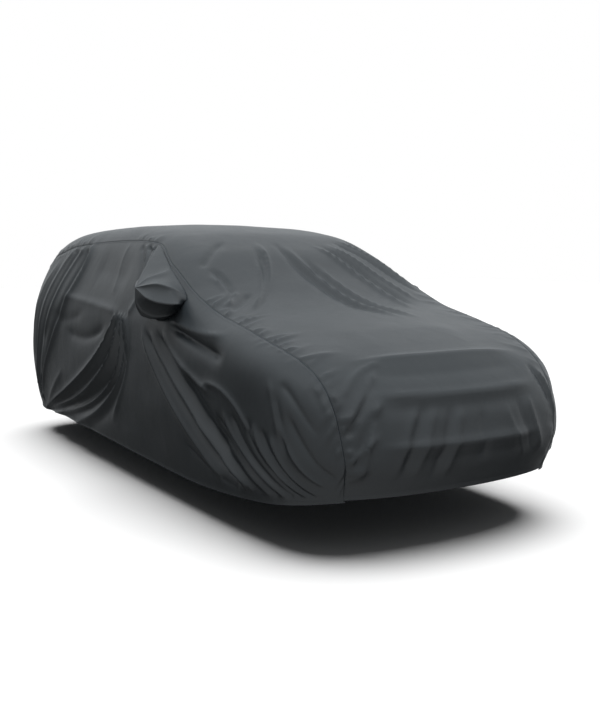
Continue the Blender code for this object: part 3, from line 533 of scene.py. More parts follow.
def add_fold(lift, p, normal, fold, hand):
    """Add the height of one fold to lift, at the points near it."""
    line = fold_line(fold, hand)
    reach = FOLD_REACH * max(fold.width_start, fold.width_end) / 1000
    low, high = line.min(axis=0) - reach, line.max(axis=0) + reach
    near = np.flatnonzero(np.all((p > low) & (p < high), axis=1))
    if not len(near):
        return
    distance, along, gap, run = nearest_on_line(p[near], line)
    width = (fold.width_start + (fold.width_end - fold.width_start) * along) / 1000
    flank = np.sign(np.sum(np.cross(run, normal[near]) * gap, axis=1))
    offset = distance / (width * (1 + 0.5 * fold.lean * flank))
    crest = RIDGE_CREST if fold.height > 0 else TROUGH_CREST
    across = np.exp(crest - np.hypot(offset, crest)) * ease(offset, FOLD_REACH, FOLD_TAIL)
    fade = np.ones_like(along)
    if fold.dies in ("start", "both"):
        fade = fade * ease(along, 0.0, FOLD_FADE)
    if fold.dies in ("end", "both"):
        fade = fade * ease(along, 1.0, 1.0 - FOLD_FADE)
    lift[near] += FOLD_GAIN * fold.height / 1000 * across * fade


def other_side(folds):
    """The left side hangs a little differently: its folds are shifted and scaled in turn."""
    varied = []
    for i, fold in enumerate(folds):
        shift = 0.035 * sin(2.1 * i + 0.5)
        scale = 1.0 + 0.18 * cos(1.7 * i)
        varied.append(fold._replace(start=(fold.start[0] + shift, fold.start[1]),
                                    end=(fold.end[0] - shift, fold.end[1]),
                                    height=fold.height * scale))
    return varied


HANDED_FOLDS = ([(fold, RIGHT) for fold in SIDE_FOLDS]
                + [(fold, LEFT) for fold in other_side(SIDE_FOLDS)]
                + [(fold, LEFT) for fold in TOP_FOLDS + FRONT_FOLDS + REAR_FOLDS])


def ripple(p):
    """Slight unevenness of slack cloth, from crossed waves that never line up."""
    x, y, z = p[:, 0], p[:, 1], p[:, 2]
    broad = np.sin(5.1 * x + 2.3 * z + 1.7 * y) * np.sin(4.3 * z - 3.1 * y + 1.1 * x + 0.7)
    middle = np.sin(11.7 * x - 7.9 * z + 6.1 * y + 1.3) * np.sin(9.1 * y + 10.3 * z + 0.4)
    fine = np.sin(27.0 * x + 19.0 * z + 2.0) * np.sin(23.0 * y - 17.0 * z + 5.0 * x)
    return 0.0022 * broad + 0.0012 * middle + 0.0004 * fine


def drape(p):
    """Points of the form moved out or in by every fold; returns the cloth and its normals."""
    shape = p.shape
    flat = p.reshape(-1, 3)
    normal = outward(flat)
    lift = ripple(flat)
    for fold, hand in HANDED_FOLDS:
        add_fold(lift, flat, normal, fold, hand)
    lift *= HEM_HOLD + (1 - HEM_HOLD) * ease(flat[:, 2] - side_hem(flat[:, 0]), 0, HEM_FREE)
    return (flat + normal * lift[:, None]).reshape(shape), normal.reshape(shape)


# ---------------------------------------------------------------- panels
def fan_ray(run):
    """Start (x, z) and direction (x, z) of the ray for one place along the top panel."""
    if run <= RUN_FRONT:
        return (FAN_HUB_FRONT[0], FRONT_HEM + run), (1.0, 0.0)
    run -= RUN_FRONT
    if run <= RUN_HUB:
        angle = run / FAN_RADIUS
        return FAN_HUB_FRONT, (cos(angle), sin(angle))
    run -= RUN_HUB
    if run <= RUN_TOP:
        share = run / RUN_TOP
        height = FAN_HUB_FRONT[1] + (FAN_HUB_REAR[1] - FAN_HUB_FRONT[1]) * share
        return (FAN_HUB_FRONT[0] - run, height), (0.0, 1.0)
    run -= RUN_TOP
    if run <= RUN_HUB:
        angle = pi / 2 + run / FAN_RADIUS
        return FAN_HUB_REAR, (cos(angle), sin(angle))
    return (FAN_HUB_REAR[0], FAN_HUB_REAR[1] - (run - RUN_HUB)), (-1.0, 0.0)


def graded(length, count, near_start=True, near_end=True):
    """Distances from 0 to length: close rows beside a sewn edge, then even ones."""
    scale = min(1.0, 0.3 * length / EDGE_ROWS[-1])
    start = [d * scale for d in EDGE_ROWS] if near_start else [0.0]
    end = [length - d * scale for d in reversed(EDGE_ROWS)] if near_end else [length]
    return np.array(start + list(np.linspace(start[-1], end[0], count + 1)[1:-1]) + end)


def stations(step):
    """Places along the run of the top panel, from the front hem to the rear hem."""
    return graded(RUN, int(RUN / step))


def top_grid(places, distances):
    """Points of the form under the top panel; a column for each distance from the seam."""
    rays = [fan_ray(place) for place in places]
    width = seam_half_width(places)
    share = np.array(distances) / distances[-1] * 2 - 1
    start = np.array([[(ox, width[i] * v, oz) for v in share]
                      for i, ((ox, oz), _) in enumerate(rays)])
    direction = np.array([[(dx, 0.0, dz)] * len(share) for _, (dx, dz) in rays])
    return settle(start, direction)


def side_grid(places, rows, hand):
    """Points of the form under a side panel, from the seam down to the hem."""
    seam = top_grid(places, [0.0, 1.0])[:, 0 if hand == RIGHT else 1]
    hem_x = hem_lead(places)
    hem = np.stack([hem_x, np.zeros_like(hem_x), side_hem(hem_x)], -1)
    hem[[0, -1]] = seam[[0, -1]]
    length = np.linalg.norm((hem - seam)[:, [0, 2]], axis=1)
    share = np.array([graded(max(size, 0.001), rows) / max(size, 0.001) for size in length])
    plan = seam[:, None] * (1 - share[..., None]) + hem[:, None] * share[..., None]
    plan[..., 1] = 0
    grid = settle(plan, (0, hand, 0))
    grid[:, 0] = seam
    grid[[0, -1]] = seam[[0, -1], None]
    return grid


def place(p):
    """From the design space to the frame."""
    return np.asarray(p) - ORIGIN


def lengths_along(grid):
    """How far each point of a grid is from the start of its row, along the row."""
    steps = np.linalg.norm(np.diff(grid, axis=1), axis=2)
    return np.concatenate([np.zeros((len(grid), 1)), np.cumsum(steps, axis=1)], axis=1)


def hem_lift(distance):
    """The turned hem: a flat band, drawn in where it is sewn."""
    band = 0.0011 * (1 - ease(distance, HEM_WIDTH - 0.003, HEM_WIDTH))
    band = band + HEM_FLARE * np.maximum(1 - distance / HEM_WIDTH, 0) ** 2
    stitch = -0.0009 * np.exp(-((distance - HEM_STITCH) / 0.0025) ** 2)
    return band + stitch


def seam_lift(distance):
    """A felled seam: drawn in on the seam line, with a ridge beside it."""
    return (-0.0012 * np.exp(-(distance / 0.0025) ** 2)
            + 0.0010 * np.exp(-((distance - 0.0075) / 0.005) ** 2))


def gather(run, distance, panel, hand):
    """Puckers of the cloth along a seam, by the run along it and the distance from it."""
    lift = np.zeros_like(run)
    for row in (row for row in PUCKERS if row.panel == panel):
        spacing = (row.end - row.start) / row.count
        for i in range(row.count):
            swing = sin(12.9 * i + 4.1 * hand + row.start)
            centre = row.start + (i + 0.5 + 0.28 * swing) * spacing
            reach = row.reach * (0.75 + 0.35 * sin(7.7 * i + 1.3 + hand))
            width = row.width / 1000 * (1 + 0.35 * sin(5.3 * i + 2.0))
            height = row.height / 1000 * (1 + 0.4 * sin(9.1 * i + hand))
            height *= row.other if hand == LEFT else 1.0
            slant = row.slant * (1 + 0.9 * sin(3.7 * i + 0.6))
            line = centre + slant * distance / row.reach
            offset = (run - line) / (width * (1 + 1.3 * distance / reach))
            across = np.exp(RIDGE_CREST - np.hypot(offset, RIDGE_CREST))
            lift += (height * across * ease(distance, reach, PUCKER_END)
                     * ease(distance, 0.0, PUCKER_START))
    return lift


@lru_cache(maxsize=None)
def top_cloth(step, columns):
    """Grid of points and normals of the top panel, with its seams and hems sewn."""
    places = stations(step)
    distances = graded(TOP_WIDTH, columns)
    cloth, normal = drape(top_grid(places, distances))
    across = lengths_along(cloth)
    from_right, from_left = across, across[:, -1:] - across
    along = lengths_along(np.swapaxes(cloth, 0, 1)).T
    from_front, from_rear = along, along[-1:] - along
    run = np.broadcast_to(places[:, None], across.shape)
    lift = (seam_lift(from_right) + seam_lift(from_left)
            + hem_lift(from_front) + hem_lift(from_rear)
            + gather(run, from_right, "top", RIGHT) + gather(run, from_left, "top", LEFT))
    edge = np.minimum(np.minimum(from_right, from_left), np.minimum(from_front, from_rear))
    uv = np.stack([across - across[:, -1:] / 2, along], -1)
    return cloth + normal * lift[..., None], normal, uv, edge


@lru_cache(maxsize=None)
def side_cloth(step, rows, hand):
    """Grid of points and normals of a side panel, with its seam and hem sewn."""
    places = stations(step)
    cloth, normal = drape(side_grid(places, rows, hand))
    from_seam = lengths_along(cloth)
    from_hem = from_seam[:, -1:] - from_seam
    run = np.broadcast_to(places[:, None], from_seam.shape)
    lift = (seam_lift(from_seam) + hem_lift(from_hem)
            + gather(run, from_seam, "side", hand))
    lift[[0, -1]] = lift[[0, -1], :1]
    edge = np.minimum(from_seam, from_hem)
    uv = np.stack([cloth[..., 0], cloth[..., 2]], -1)
    return cloth + normal * lift[..., None], normal, uv, edge


def quad_grid(rows, columns):
    """Faces of a grid of points, as rows of four corners."""
    index = np.arange(rows * columns).reshape(rows, columns)
    corners = (index[:-1, :-1], index[:-1, 1:], index[1:, 1:], index[1:, :-1])
    return np.stack([c.ravel() for c in corners], -1)


def used_only(faces, *columns):
    """Faces numbered anew over the points they use, and those rows of each column."""
    used, index = np.unique(faces, return_inverse=True)
    return (index.reshape(faces.shape), *(column[used] for column in columns))


def cloth_mesh(name, points, faces, uv, edge):
    """A mesh of one layer of cloth with its thread directions and its distance from an edge."""
    mesh = bpy.data.meshes.new(name)
    mesh.from_pydata(place(points).tolist(), [], [tuple(map(int, face)) for face in faces])
    layer = mesh.uv_layers.new(name="thread")
    loops = np.empty(len(mesh.loops), np.int32)
    mesh.loops.foreach_get("vertex_index", loops)
    layer.data.foreach_set("uv", uv[loops].astype(np.float32).ravel())
    attribute = mesh.attributes.new("from_edge", "FLOAT", "POINT")
    attribute.data.foreach_set("value", edge.astype(np.float32))
    mesh.update()
    mesh.shade_smooth()
    return mesh


def add_piece(name, mesh, material):
    """An object of a mesh in one material, linked to the scene."""
    piece = bpy.data.objects.new(name, mesh)
    mesh.materials.append(material)
    bpy.context.scene.collection.objects.link(piece)
    return piece


def thicken(piece, thickness):
    """Give a layer of cloth its thickness, inward from the outer face."""
    solid = piece.modifiers.new("thickness", "SOLIDIFY")
    solid.thickness = thickness
    solid.offset = -1
    evaluated = piece.evaluated_get(bpy.context.evaluated_depsgraph_get())
    mesh = bpy.data.meshes.new_from_object(evaluated)
    mesh.name = piece.data.name
    old = piece.data
    piece.modifiers.clear()
    piece.data = mesh
    bpy.data.meshes.remove(old)


# ---------------------------------------------------------------- mirror pocket
def closed_curve(points, steps):
    """Smooth closed curve through points, with a number of steps from each to the next."""
    points = np.asarray(points, float)
    tangent = (np.roll(points, -1, 0) - np.roll(points, 1, 0)) / 2
    following, tangent_there = np.roll(points, -1, 0), np.roll(tangent, -1, 0)
    t = (np.arange(steps) / steps)[None, :, None]
    curve = ((2 * t ** 3 - 3 * t * t + 1) * points[:, None]
             + (t ** 3 - 2 * t * t + t) * tangent[:, None]
             + (3 * t * t - 2 * t ** 3) * following[:, None]
             + (t ** 3 - t * t) * tangent_there[:, None])
    return curve.reshape(-1, points.shape[1])


def pocket_rim(hand):
    """The opening's outline on the body, as points of the draped side panel."""
    outline = closed_curve([rib.rim for rib in POCKET_RIBS], POCKET_SPAN_STEPS)
    plan = np.stack([outline[:, 0], np.zeros(len(outline)), outline[:, 1]], -1)
    cloth, _ = drape(settle(plan, (0, hand, 0)))
    return cloth


def folded_back(p):
    """Points of the right pocket as they hang on the left, over a mirror that is folded."""
    proud = np.maximum(form(p), 0)[..., None]
    return p - outward(p) * (1 - FOLDED_SHARE) * proud - (FOLDED_SHIFT, 0, 0) * proud


def curve_through(points, shares):
    """Smooth open curve through points, read at shares of its length."""
    points = np.asarray(points, float)
    steps = np.linalg.norm(np.diff(points, axis=0), axis=1)
    at = np.concatenate([[0.0], np.cumsum(steps)]) / steps.sum()
    axes = [smooth_curve(table(*zip(at, points[:, k]))) for k in range(3)]
    return np.stack([axis(shares) for axis in axes], -1)


@lru_cache(maxsize=None)
def pocket_cloth(hand):
    """Rows of the mirror pocket from its rim to near the tip, and the tip."""
    rim = pocket_rim(hand)
    sign = np.array([1, hand, 1])
    outer = folded_back if hand == LEFT else np.array
    tip = outer(np.array([POCKET_TIP]))[0] * sign
    shares = np.linspace(0, 1, POCKET_RIB_STEPS + 1)
    starts = rim[::POCKET_SPAN_STEPS]
    paths = [np.vstack([start, outer(np.array(rib.by)) * sign, tip])
             for start, rib in zip(starts, POCKET_RIBS)]
    ribs = np.array([curve_through(path, shares) for path in paths])
    following = np.roll(ribs, -1, axis=0)
    rounded = np.array([closed_curve(ribs[:, j], POCKET_SPAN_STEPS)
                        for j in range(len(shares))])
    heart = np.array(POCKET_HEART) * sign
    columns = []
    for i, rib in enumerate(POCKET_RIBS):
        after = POCKET_RIBS[(i + 1) % len(POCKET_RIBS)]
        for k in range(POCKET_SPAN_STEPS):
            t = k / POCKET_SPAN_STEPS
            line = (1 - t) * ribs[i] + t * following[i]
            soft = (1 - t) * rib.round + t * after.round
            smooth = rounded[:, i * POCKET_SPAN_STEPS + k]
            line = (1 - soft) * line + soft * smooth
            inward = heart - line
            inward /= np.linalg.norm(inward, axis=1, keepdims=True)
            sink = rib.sink / 1000 * 4 * t * (1 - t) * np.sin(pi * shares ** 0.8)
            crest = ((1 - rib.round) * np.exp(-(t / RIB_CREST_SPAN) ** 2)
                     + (1 - after.round) * np.exp(-((1 - t) / RIB_CREST_SPAN) ** 2))
            sink = sink - RIB_CREST * crest * np.sin(pi * shares)
            start = rim[i * POCKET_SPAN_STEPS + k]
            line = line + inward * sink[:, None] + (start - line[0]) * (1 - shares[:, None]) ** 2
            columns.append(line)
    return np.array(columns).swapaxes(0, 1)[:-1], tip


def rim_stitches(rows, hand):
    """A line around the pocket, a little in from its rim, and the normals along it."""
    steps = np.linalg.norm(np.diff(rows, axis=0), axis=2)
    depth = np.concatenate([np.zeros((1, rows.shape[1])), np.cumsum(steps, axis=0)])
    line = np.array([[np.interp(SEAM_STITCH, depth[:, j], rows[:, j, k]) for k in range(3)]
                     for j in range(rows.shape[1])])
    along = np.roll(line, -1, 0) - np.roll(line, 1, 0)
    normal = np.cross(along, line - rows[0])
    normal /= np.linalg.norm(normal, axis=1, keepdims=True)
    return line, normal if normal[:, 1].sum() * hand > 0 else -normal


def inside_outline(x, z, outline):
    """Which points lie inside a closed outline, by counting its crossings."""
    inside = np.zeros(x.shape, bool)
    for (x0, z0), (x1, z1) in zip(outline, np.roll(outline, -1, 0)):
        crosses = (z0 > z) != (z1 > z)
        at = x0 + (z - z0) * (x1 - x0) / (z1 - z0 + 1e-12)
        inside ^= crosses & (x < at)
    return inside


# ---------------------------------------------------------------- materials
def make_weave_group():
    """Plain weave: how the threads stand up, from thread coordinates in metres."""
    group = bpy.data.node_groups.new("plain_weave", "ShaderNodeTree")
    face = group.interface
    face.new_socket("Thread", in_out="INPUT", socket_type="NodeSocketVector")
    pitch = face.new_socket("Threads per metre", in_out="INPUT", socket_type="NodeSocketFloat")
    pitch.default_value = 700.0
    face.new_socket("Height", in_out="OUTPUT", socket_type="NodeSocketFloat")
    nodes, links = group.nodes, group.links
    start = nodes.new("NodeGroupInput")
    end = nodes.new("NodeGroupOutput")
    split = nodes.new("ShaderNodeSeparateXYZ")
    links.new(start.outputs["Thread"], split.inputs[0])
    waves = []
    for axis in ("X", "Y"):
        turn = nodes.new("ShaderNodeMath")
        turn.operation = "MULTIPLY"
        links.new(split.outputs[axis], turn.inputs[0])
        links.new(start.outputs["Threads per metre"], turn.inputs[1])
        angle = nodes.new("ShaderNodeMath")
        angle.operation = "MULTIPLY"
        links.new(turn.outputs[0], angle.inputs[0])
        angle.inputs[1].default_value = pi
        wave = nodes.new("ShaderNodeMath")
        wave.operation = "SINE"
        links.new(angle.outputs[0], wave.inputs[0])
        waves.append(wave)
    product = nodes.new("ShaderNodeMath")
    product.operation = "MULTIPLY"
    links.new(waves[0].outputs[0], product.inputs[0])
    links.new(waves[1].outputs[0], product.inputs[1])
    links.new(product.outputs[0], end.inputs["Height"])
    return group


def make_crumple_group():
    """Fine creases of pressed and slack cloth, from object coordinates."""
    group = bpy.data.node_groups.new("cloth_crumple", "ShaderNodeTree")
    face = group.interface
    face.new_socket("Position", in_out="INPUT", socket_type="NodeSocketVector")
    scale = face.new_socket("Scale", in_out="INPUT", socket_type="NodeSocketFloat")
    scale.default_value = 9.0
    face.new_socket("Height", in_out="OUTPUT", socket_type="NodeSocketFloat")
    nodes, links = group.nodes, group.links
    start = nodes.new("NodeGroupInput")
    end = nodes.new("NodeGroupOutput")
    stretch = nodes.new("ShaderNodeMapping")
    stretch.inputs["Scale"].default_value = (1.0, 1.0, 0.55)
    links.new(start.outputs["Position"], stretch.inputs["Vector"])
    broad = nodes.new("ShaderNodeTexNoise")
    broad.inputs["Detail"].default_value = 2.0
    broad.inputs["Distortion"].default_value = 0.6
    links.new(stretch.outputs[0], broad.inputs["Vector"])
    links.new(start.outputs["Scale"], broad.inputs["Scale"])
    links.new(broad.outputs["Fac"], end.inputs["Height"])
    return group


def group_node(tree, group):
    """A node that shows a group."""
    node = tree.nodes.new("ShaderNodeGroup")
    node.node_tree = group
    return node


def get_group(name, make):
    """The node group of a name, made if it isn't there yet."""
    return bpy.data.node_groups.get(name) or make()


def cloth_material(name, colour):
    """Woven coated polyester: weave and fine creases in relief, slight mottling, a lighter colour
    within 6 mm of its edges.
    """
    material = bpy.data.materials.new(name)
    material.use_nodes = True
    tree = material.node_tree
    nodes, links = tree.nodes, tree.links
    shader = nodes["Principled BSDF"]
    shader.inputs["Metallic"].default_value = 0.0
    shader.inputs["Specular IOR Level"].default_value = 0.55

    thread = nodes.new("ShaderNodeUVMap")
    thread.uv_map = "thread"
    where = nodes.new("ShaderNodeTexCoord")
    weave = group_node(tree, get_group("plain_weave", make_weave_group))
    links.new(thread.outputs["UV"], weave.inputs["Thread"])
    crumple = group_node(tree, get_group("cloth_crumple", make_crumple_group))
    links.new(where.outputs["Object"], crumple.inputs["Position"])

    mottle = nodes.new("ShaderNodeTexNoise")
    mottle.inputs["Scale"].default_value = 5.0
    mottle.inputs["Detail"].default_value = 3.0
    links.new(where.outputs["Object"], mottle.inputs["Vector"])
    shade = nodes.new("ShaderNodeMix")
    shade.data_type = "RGBA"
    shade.inputs["A"].default_value = [c * 0.92 for c in colour[:3]] + [1]
    shade.inputs["B"].default_value = [c * 1.10 for c in colour[:3]] + [1]
    links.new(mottle.outputs["Fac"], shade.inputs["Factor"])

    # The colour is mixed up to 1.7 times lighter within 6 mm of a seam, hem or pocket rim, as
    # read from from_edge.
    edge = nodes.new("ShaderNodeAttribute")
    edge.attribute_name = "from_edge"
    near_edge = nodes.new("ShaderNodeMapRange")
    near_edge.inputs["From Min"].default_value = 0.0
    near_edge.inputs["From Max"].default_value = 0.006
    near_edge.inputs["To Min"].default_value = 1.0
    near_edge.inputs["To Max"].default_value = 0.0
    links.new(edge.outputs["Fac"], near_edge.inputs["Value"])
    lighter_edge = nodes.new("ShaderNodeMix")
    lighter_edge.data_type = "RGBA"
    links.new(near_edge.outputs["Result"], lighter_edge.inputs["Factor"])
    links.new(shade.outputs["Result"], lighter_edge.inputs["A"])
    lighter_edge.inputs["B"].default_value = [min(1, c * 1.7) for c in colour[:3]] + [1]
    links.new(lighter_edge.outputs["Result"], shader.inputs["Base Color"])

    rough = nodes.new("ShaderNodeMapRange")
    rough.inputs["To Min"].default_value = 0.31
    rough.inputs["To Max"].default_value = 0.39
    links.new(mottle.outputs["Fac"], rough.inputs["Value"])
    links.new(rough.outputs["Result"], shader.inputs["Roughness"])

    creases = nodes.new("ShaderNodeBump")
    creases.inputs["Distance"].default_value = 0.004
    creases.inputs["Strength"].default_value = 0.5
    links.new(crumple.outputs["Height"], creases.inputs["Height"])
    threads = nodes.new("ShaderNodeBump")
    threads.inputs["Distance"].default_value = 0.0002
    threads.inputs["Strength"].default_value = 0.35
    links.new(weave.outputs["Height"], threads.inputs["Height"])
    links.new(creases.outputs["Normal"], threads.inputs["Normal"])
    links.new(threads.outputs["Normal"], shader.inputs["Normal"])
    return material


def thread_material(name, colour):
    """Sewing thread, twisted, with a dull shine."""
    material = bpy.data.materials.new(name)
    material.use_nodes = True
    nodes, links = material.node_tree.nodes, material.node_tree.links
    shader = nodes["Principled BSDF"]
    shader.inputs["Roughness"].default_value = 0.55
    where = nodes.new("ShaderNodeTexCoord")
    tone = nodes.new("ShaderNodeTexNoise")
    tone.inputs["Scale"].default_value = 60.0
    links.new(where.outputs["Object"], tone.inputs["Vector"])
    shade = nodes.new("ShaderNodeMix")
    shade.data_type = "RGBA"
    shade.inputs["A"].default_value = [c * 0.8 for c in colour[:3]] + [1]
    shade.inputs["B"].default_value = [c * 1.2 for c in colour[:3]] + [1]
    links.new(tone.outputs["Fac"], shade.inputs["Factor"])
    links.new(shade.outputs["Result"], shader.inputs["Base Color"])
    return material


# ---------------------------------------------------------------- stitches
def stitch_tree():
    """Geometry nodes that lay stitches end to end along curves."""
    tree = bpy.data.node_groups.new("row_of_stitches", "GeometryNodeTree")
    face = tree.interface
    face.new_socket("Geometry", in_out="INPUT", socket_type="NodeSocketGeometry")
    for name, value in (("Pitch", 0.0075), ("Length", 0.0052), ("Radius", 0.0007)):
        socket = face.new_socket(name, in_out="INPUT", socket_type="NodeSocketFloat")
        socket.default_value = value
    face.new_socket("Material", in_out="INPUT", socket_type="NodeSocketMaterial")
    face.new_socket("Geometry", in_out="OUTPUT", socket_type="NodeSocketGeometry")
    nodes, links = tree.nodes, tree.links
    start = nodes.new("NodeGroupInput")
    end = nodes.new("NodeGroupOutput")
    resample = nodes.new("GeometryNodeResampleCurve")
    resample.mode = "LENGTH"
    links.new(start.outputs["Geometry"], resample.inputs["Curve"])
    links.new(start.outputs["Pitch"], resample.inputs["Length"])
    bead = nodes.new("GeometryNodeMeshUVSphere")
    bead.inputs["Segments"].default_value = 5
    bead.inputs["Rings"].default_value = 4
    bead.inputs["Radius"].default_value = 1.0
    half = nodes.new("ShaderNodeMath")
    half.operation = "MULTIPLY"
    half.inputs[1].default_value = 0.5
    links.new(start.outputs["Length"], half.inputs[0])
    size = nodes.new("ShaderNodeCombineXYZ")
    links.new(start.outputs["Radius"], size.inputs["X"])
    links.new(start.outputs["Radius"], size.inputs["Y"])
    links.new(half.outputs[0], size.inputs["Z"])
    tangent = nodes.new("GeometryNodeInputTangent")
    turn = nodes.new("FunctionNodeAlignRotationToVector")
    turn.axis = "Z"
    links.new(tangent.outputs[0], turn.inputs["Vector"])
    copies = nodes.new("GeometryNodeInstanceOnPoints")
    links.new(resample.outputs["Curve"], copies.inputs["Points"])
    links.new(bead.outputs["Mesh"], copies.inputs["Instance"])
    links.new(turn.outputs["Rotation"], copies.inputs["Rotation"])
    links.new(size.outputs[0], copies.inputs["Scale"])
    real = nodes.new("GeometryNodeRealizeInstances")
    links.new(copies.outputs["Instances"], real.inputs["Geometry"])
    paint = nodes.new("GeometryNodeSetMaterial")
    links.new(real.outputs["Geometry"], paint.inputs["Geometry"])
    links.new(start.outputs["Material"], paint.inputs["Material"])
    links.new(paint.outputs["Geometry"], end.inputs["Geometry"])
    return tree


def sew(name, lines, closed, material, settings):
    """A piece of stitches along lines of points in the frame."""
    curve = bpy.data.curves.new(name, "CURVE")
    curve.dimensions = "3D"
    for line in lines:
        spline = curve.splines.new("POLY")
        spline.points.add(len(line) - 1)
        spline.points.foreach_set("co", np.c_[line, np.ones(len(line))].ravel())
        spline.use_cyclic_u = closed
    path = bpy.data.objects.new(name + "_path", curve)
    bpy.context.scene.collection.objects.link(path)
    rows = path.modifiers.new("stitches", "NODES")
    rows.node_group = bpy.data.node_groups.get("row_of_stitches") or stitch_tree()
    values = {"Pitch": settings.stitch_pitch, "Length": settings.stitch_length,
              "Radius": settings.stitch_radius, "Material": material}
    for item in rows.node_group.interface.items_tree:
        if item.in_out == "INPUT" and item.name in values:
            rows[item.identifier] = values[item.name]
    bpy.context.view_layer.update()
    evaluated = path.evaluated_get(bpy.context.evaluated_depsgraph_get())
    mesh = bpy.data.meshes.new_from_object(evaluated)
    mesh.name = name
    mesh.shade_smooth()
    bpy.data.objects.remove(path, do_unlink=True)
    bpy.data.curves.remove(curve)
    piece = bpy.data.objects.new(name, mesh)
    if not mesh.materials:
        mesh.materials.append(material)
    bpy.context.scene.collection.objects.link(piece)
    return piece


# ---------------------------------------------------------------- operators
def settings():
    """The sizes and colours of the cover, from the panel."""
    return bpy.context.scene.car_cover


class COVER_OT_top_panel(bpy.types.Operator):
    """Make the long top panel, from the front hem over the roof to the rear hem"""
    bl_idname = "car_cover.top_panel"
    bl_label = "Top panel"

    def execute(self, context):
        s = settings()
        cloth, _, uv, edge = top_cloth(s.run_step, s.top_columns)
        faces = quad_grid(*cloth.shape[:2])
        mesh = cloth_mesh("cover_top", cloth.reshape(-1, 3), faces, uv.reshape(-1, 2),
                          edge.ravel())
        piece = add_piece("cover_top", mesh, cloth_material("top_cloth", s.cloth_colour))
        thicken(piece, s.thickness)
        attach(piece, ROOT)
        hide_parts("top_panel")
        return {"FINISHED"}


class COVER_OT_side_panels(bpy.types.Operator):
    """Make both side panels, with their openings for the mirror pockets"""
    bl_idname = "car_cover.side_panels"
    bl_label = "Side panels"

    def execute(self, context):
        s = settings()
        material = cloth_material("side_cloth", s.cloth_colour)
        for side, hand in (("right", RIGHT), ("left", LEFT)):
            cloth, _, uv, edge = side_cloth(s.run_step, s.side_rows, hand)
            points = cloth.reshape(-1, 3)
            faces = quad_grid(*cloth.shape[:2])
            if hand == RIGHT:
                faces = faces[:, ::-1]
            rim = pocket_rim(hand)
            outline = rim[:, [0, 2]]
            centre = points[faces].mean(axis=1)
            keep = ~inside_outline(centre[:, 0], centre[:, 2], outline)
            faces = self.close_points(faces[keep], points)
            points, edge = self.snap_to_rim(points, faces, rim, edge.ravel())
            faces, points, uv, edge = used_only(faces, points, uv.reshape(-1, 2), edge)
            mesh = cloth_mesh("cover_side_" + side, points, faces, uv, edge)
            piece = add_piece("cover_side_" + side, mesh, material)
            thicken(piece, s.thickness)
            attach(piece, ROOT)
            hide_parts("side_panel_" + side)
        return {"FINISHED"}

    @staticmethod
    def close_points(faces, points):
        """Drop the faces that have no area at the pointed corners of the panel."""
        a, b, c, d = (points[faces[:, i]] for i in range(4))
        area = np.linalg.norm(np.cross(c - a, d - b), axis=1) / 2
        return faces[area > LEAST_AREA]

    @staticmethod
    def snap_to_rim(points, faces, rim, edge):
        """Move the ragged edge of the opening onto the rim of the pocket."""
        sides = np.sort(np.concatenate([faces[:, [i, (i + 1) % 4]] for i in range(4)]), axis=1)
        unique, count = np.unique(sides, axis=0, return_counts=True)
        loose = np.unique(unique[count == 1])
        p = points[loose]
        low, high = rim.min(axis=0) - RIM_REACH, rim.max(axis=0) + RIM_REACH
        near = np.all((p > low) & (p < high), axis=1) & (edge[loose] > 0)
        loose = loose[near]
        gap = np.linalg.norm(points[loose][:, None] - rim[None], axis=2)
        close = gap.min(axis=1) < RIM_REACH
        points, edge = points.copy(), edge.copy()
        points[loose[close]] = rim[gap.argmin(axis=1)][close]
        edge[loose[close]] = 0
        return points, edge


class COVER_OT_mirror_pockets(bpy.types.Operator):
    """Make the fitted bag over each door mirror"""
    bl_idname = "car_cover.mirror_pockets"
    bl_label = "Mirror pockets"

    def execute(self, context):
        s = settings()
        material = cloth_material("pocket_cloth", s.cloth_colour)
        for side, hand in (("right", RIGHT), ("left", LEFT)):
            rings, tip = pocket_cloth(hand)
            steps, count = rings.shape[:2]
            points = np.vstack([rings.reshape(-1, 3), tip[None]])
            index = np.arange(steps * count).reshape(steps, count)
            after = np.roll(index, -1, axis=1)
            quads = np.stack([index[:-1], after[:-1], after[1:], index[1:]], -1).reshape(-1, 4)
            cap = [(index[-1, j], after[-1, j], steps * count) for j in range(count)]
            faces = [tuple(q) for q in quads] + cap
            if hand == LEFT:
                faces = [face[::-1] for face in faces]
            depth = np.linalg.norm(points - np.vstack([np.tile(rings[0], (steps, 1)), tip]),
                                   axis=1)
            mesh = cloth_mesh("cover_mirror_pocket_" + side, points, faces,
                              points[:, [0, 2]], depth)
            piece = add_piece("cover_mirror_pocket_" + side, mesh, material)
            thicken(piece, s.thickness)
            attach(piece, ROOT)
            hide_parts("mirror_pocket_" + side)
        return {"FINISHED"}


class COVER_OT_stitching(bpy.types.Operator):
    """Sew the seams, hems and pockets with rows of stitches"""
    bl_idname = "car_cover.stitching"
    bl_label = "Stitching"

    def execute(self, context):
        s = settings()
        material = thread_material("sewing_thread", s.thread_colour)
        seam = EDGE_ROWS.index(SEAM_STITCH)
        hem = EDGE_ROWS.index(HEM_STITCH)
        top, up, _, _ = top_cloth(s.run_step, s.top_columns)
        lines = [top[:, seam], top[:, -1 - seam], top[hem], top[-1 - hem]]
        normals = [up[:, seam], up[:, -1 - seam], up[hem], up[-1 - hem]]
        self.add("stitches_top", lines, normals, False, material, "top_cloth")
        for side, hand in (("right", RIGHT), ("left", LEFT)):
            cloth, out, _, _ = side_cloth(s.run_step, s.side_rows, hand)
            lines = [cloth[:, seam], cloth[:, -1 - hem]]
            normals = [out[:, seam], out[:, -1 - hem]]
            self.add("stitches_side_" + side, lines, normals, False, material, "side_cloth")
            line, out = rim_stitches(pocket_cloth(hand)[0], hand)
            self.add("stitches_pocket_" + side, [line], [out], True, material, "pocket_cloth")
        return {"FINISHED"}

    @staticmethod
    def add(name, lines, normals, closed, material, slot):
        raised = [place(line + STITCH_PROUD * normal) for line, normal in zip(lines, normals)]
        piece = sew(name, raised, closed, material, settings())
        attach(piece, ROOT)


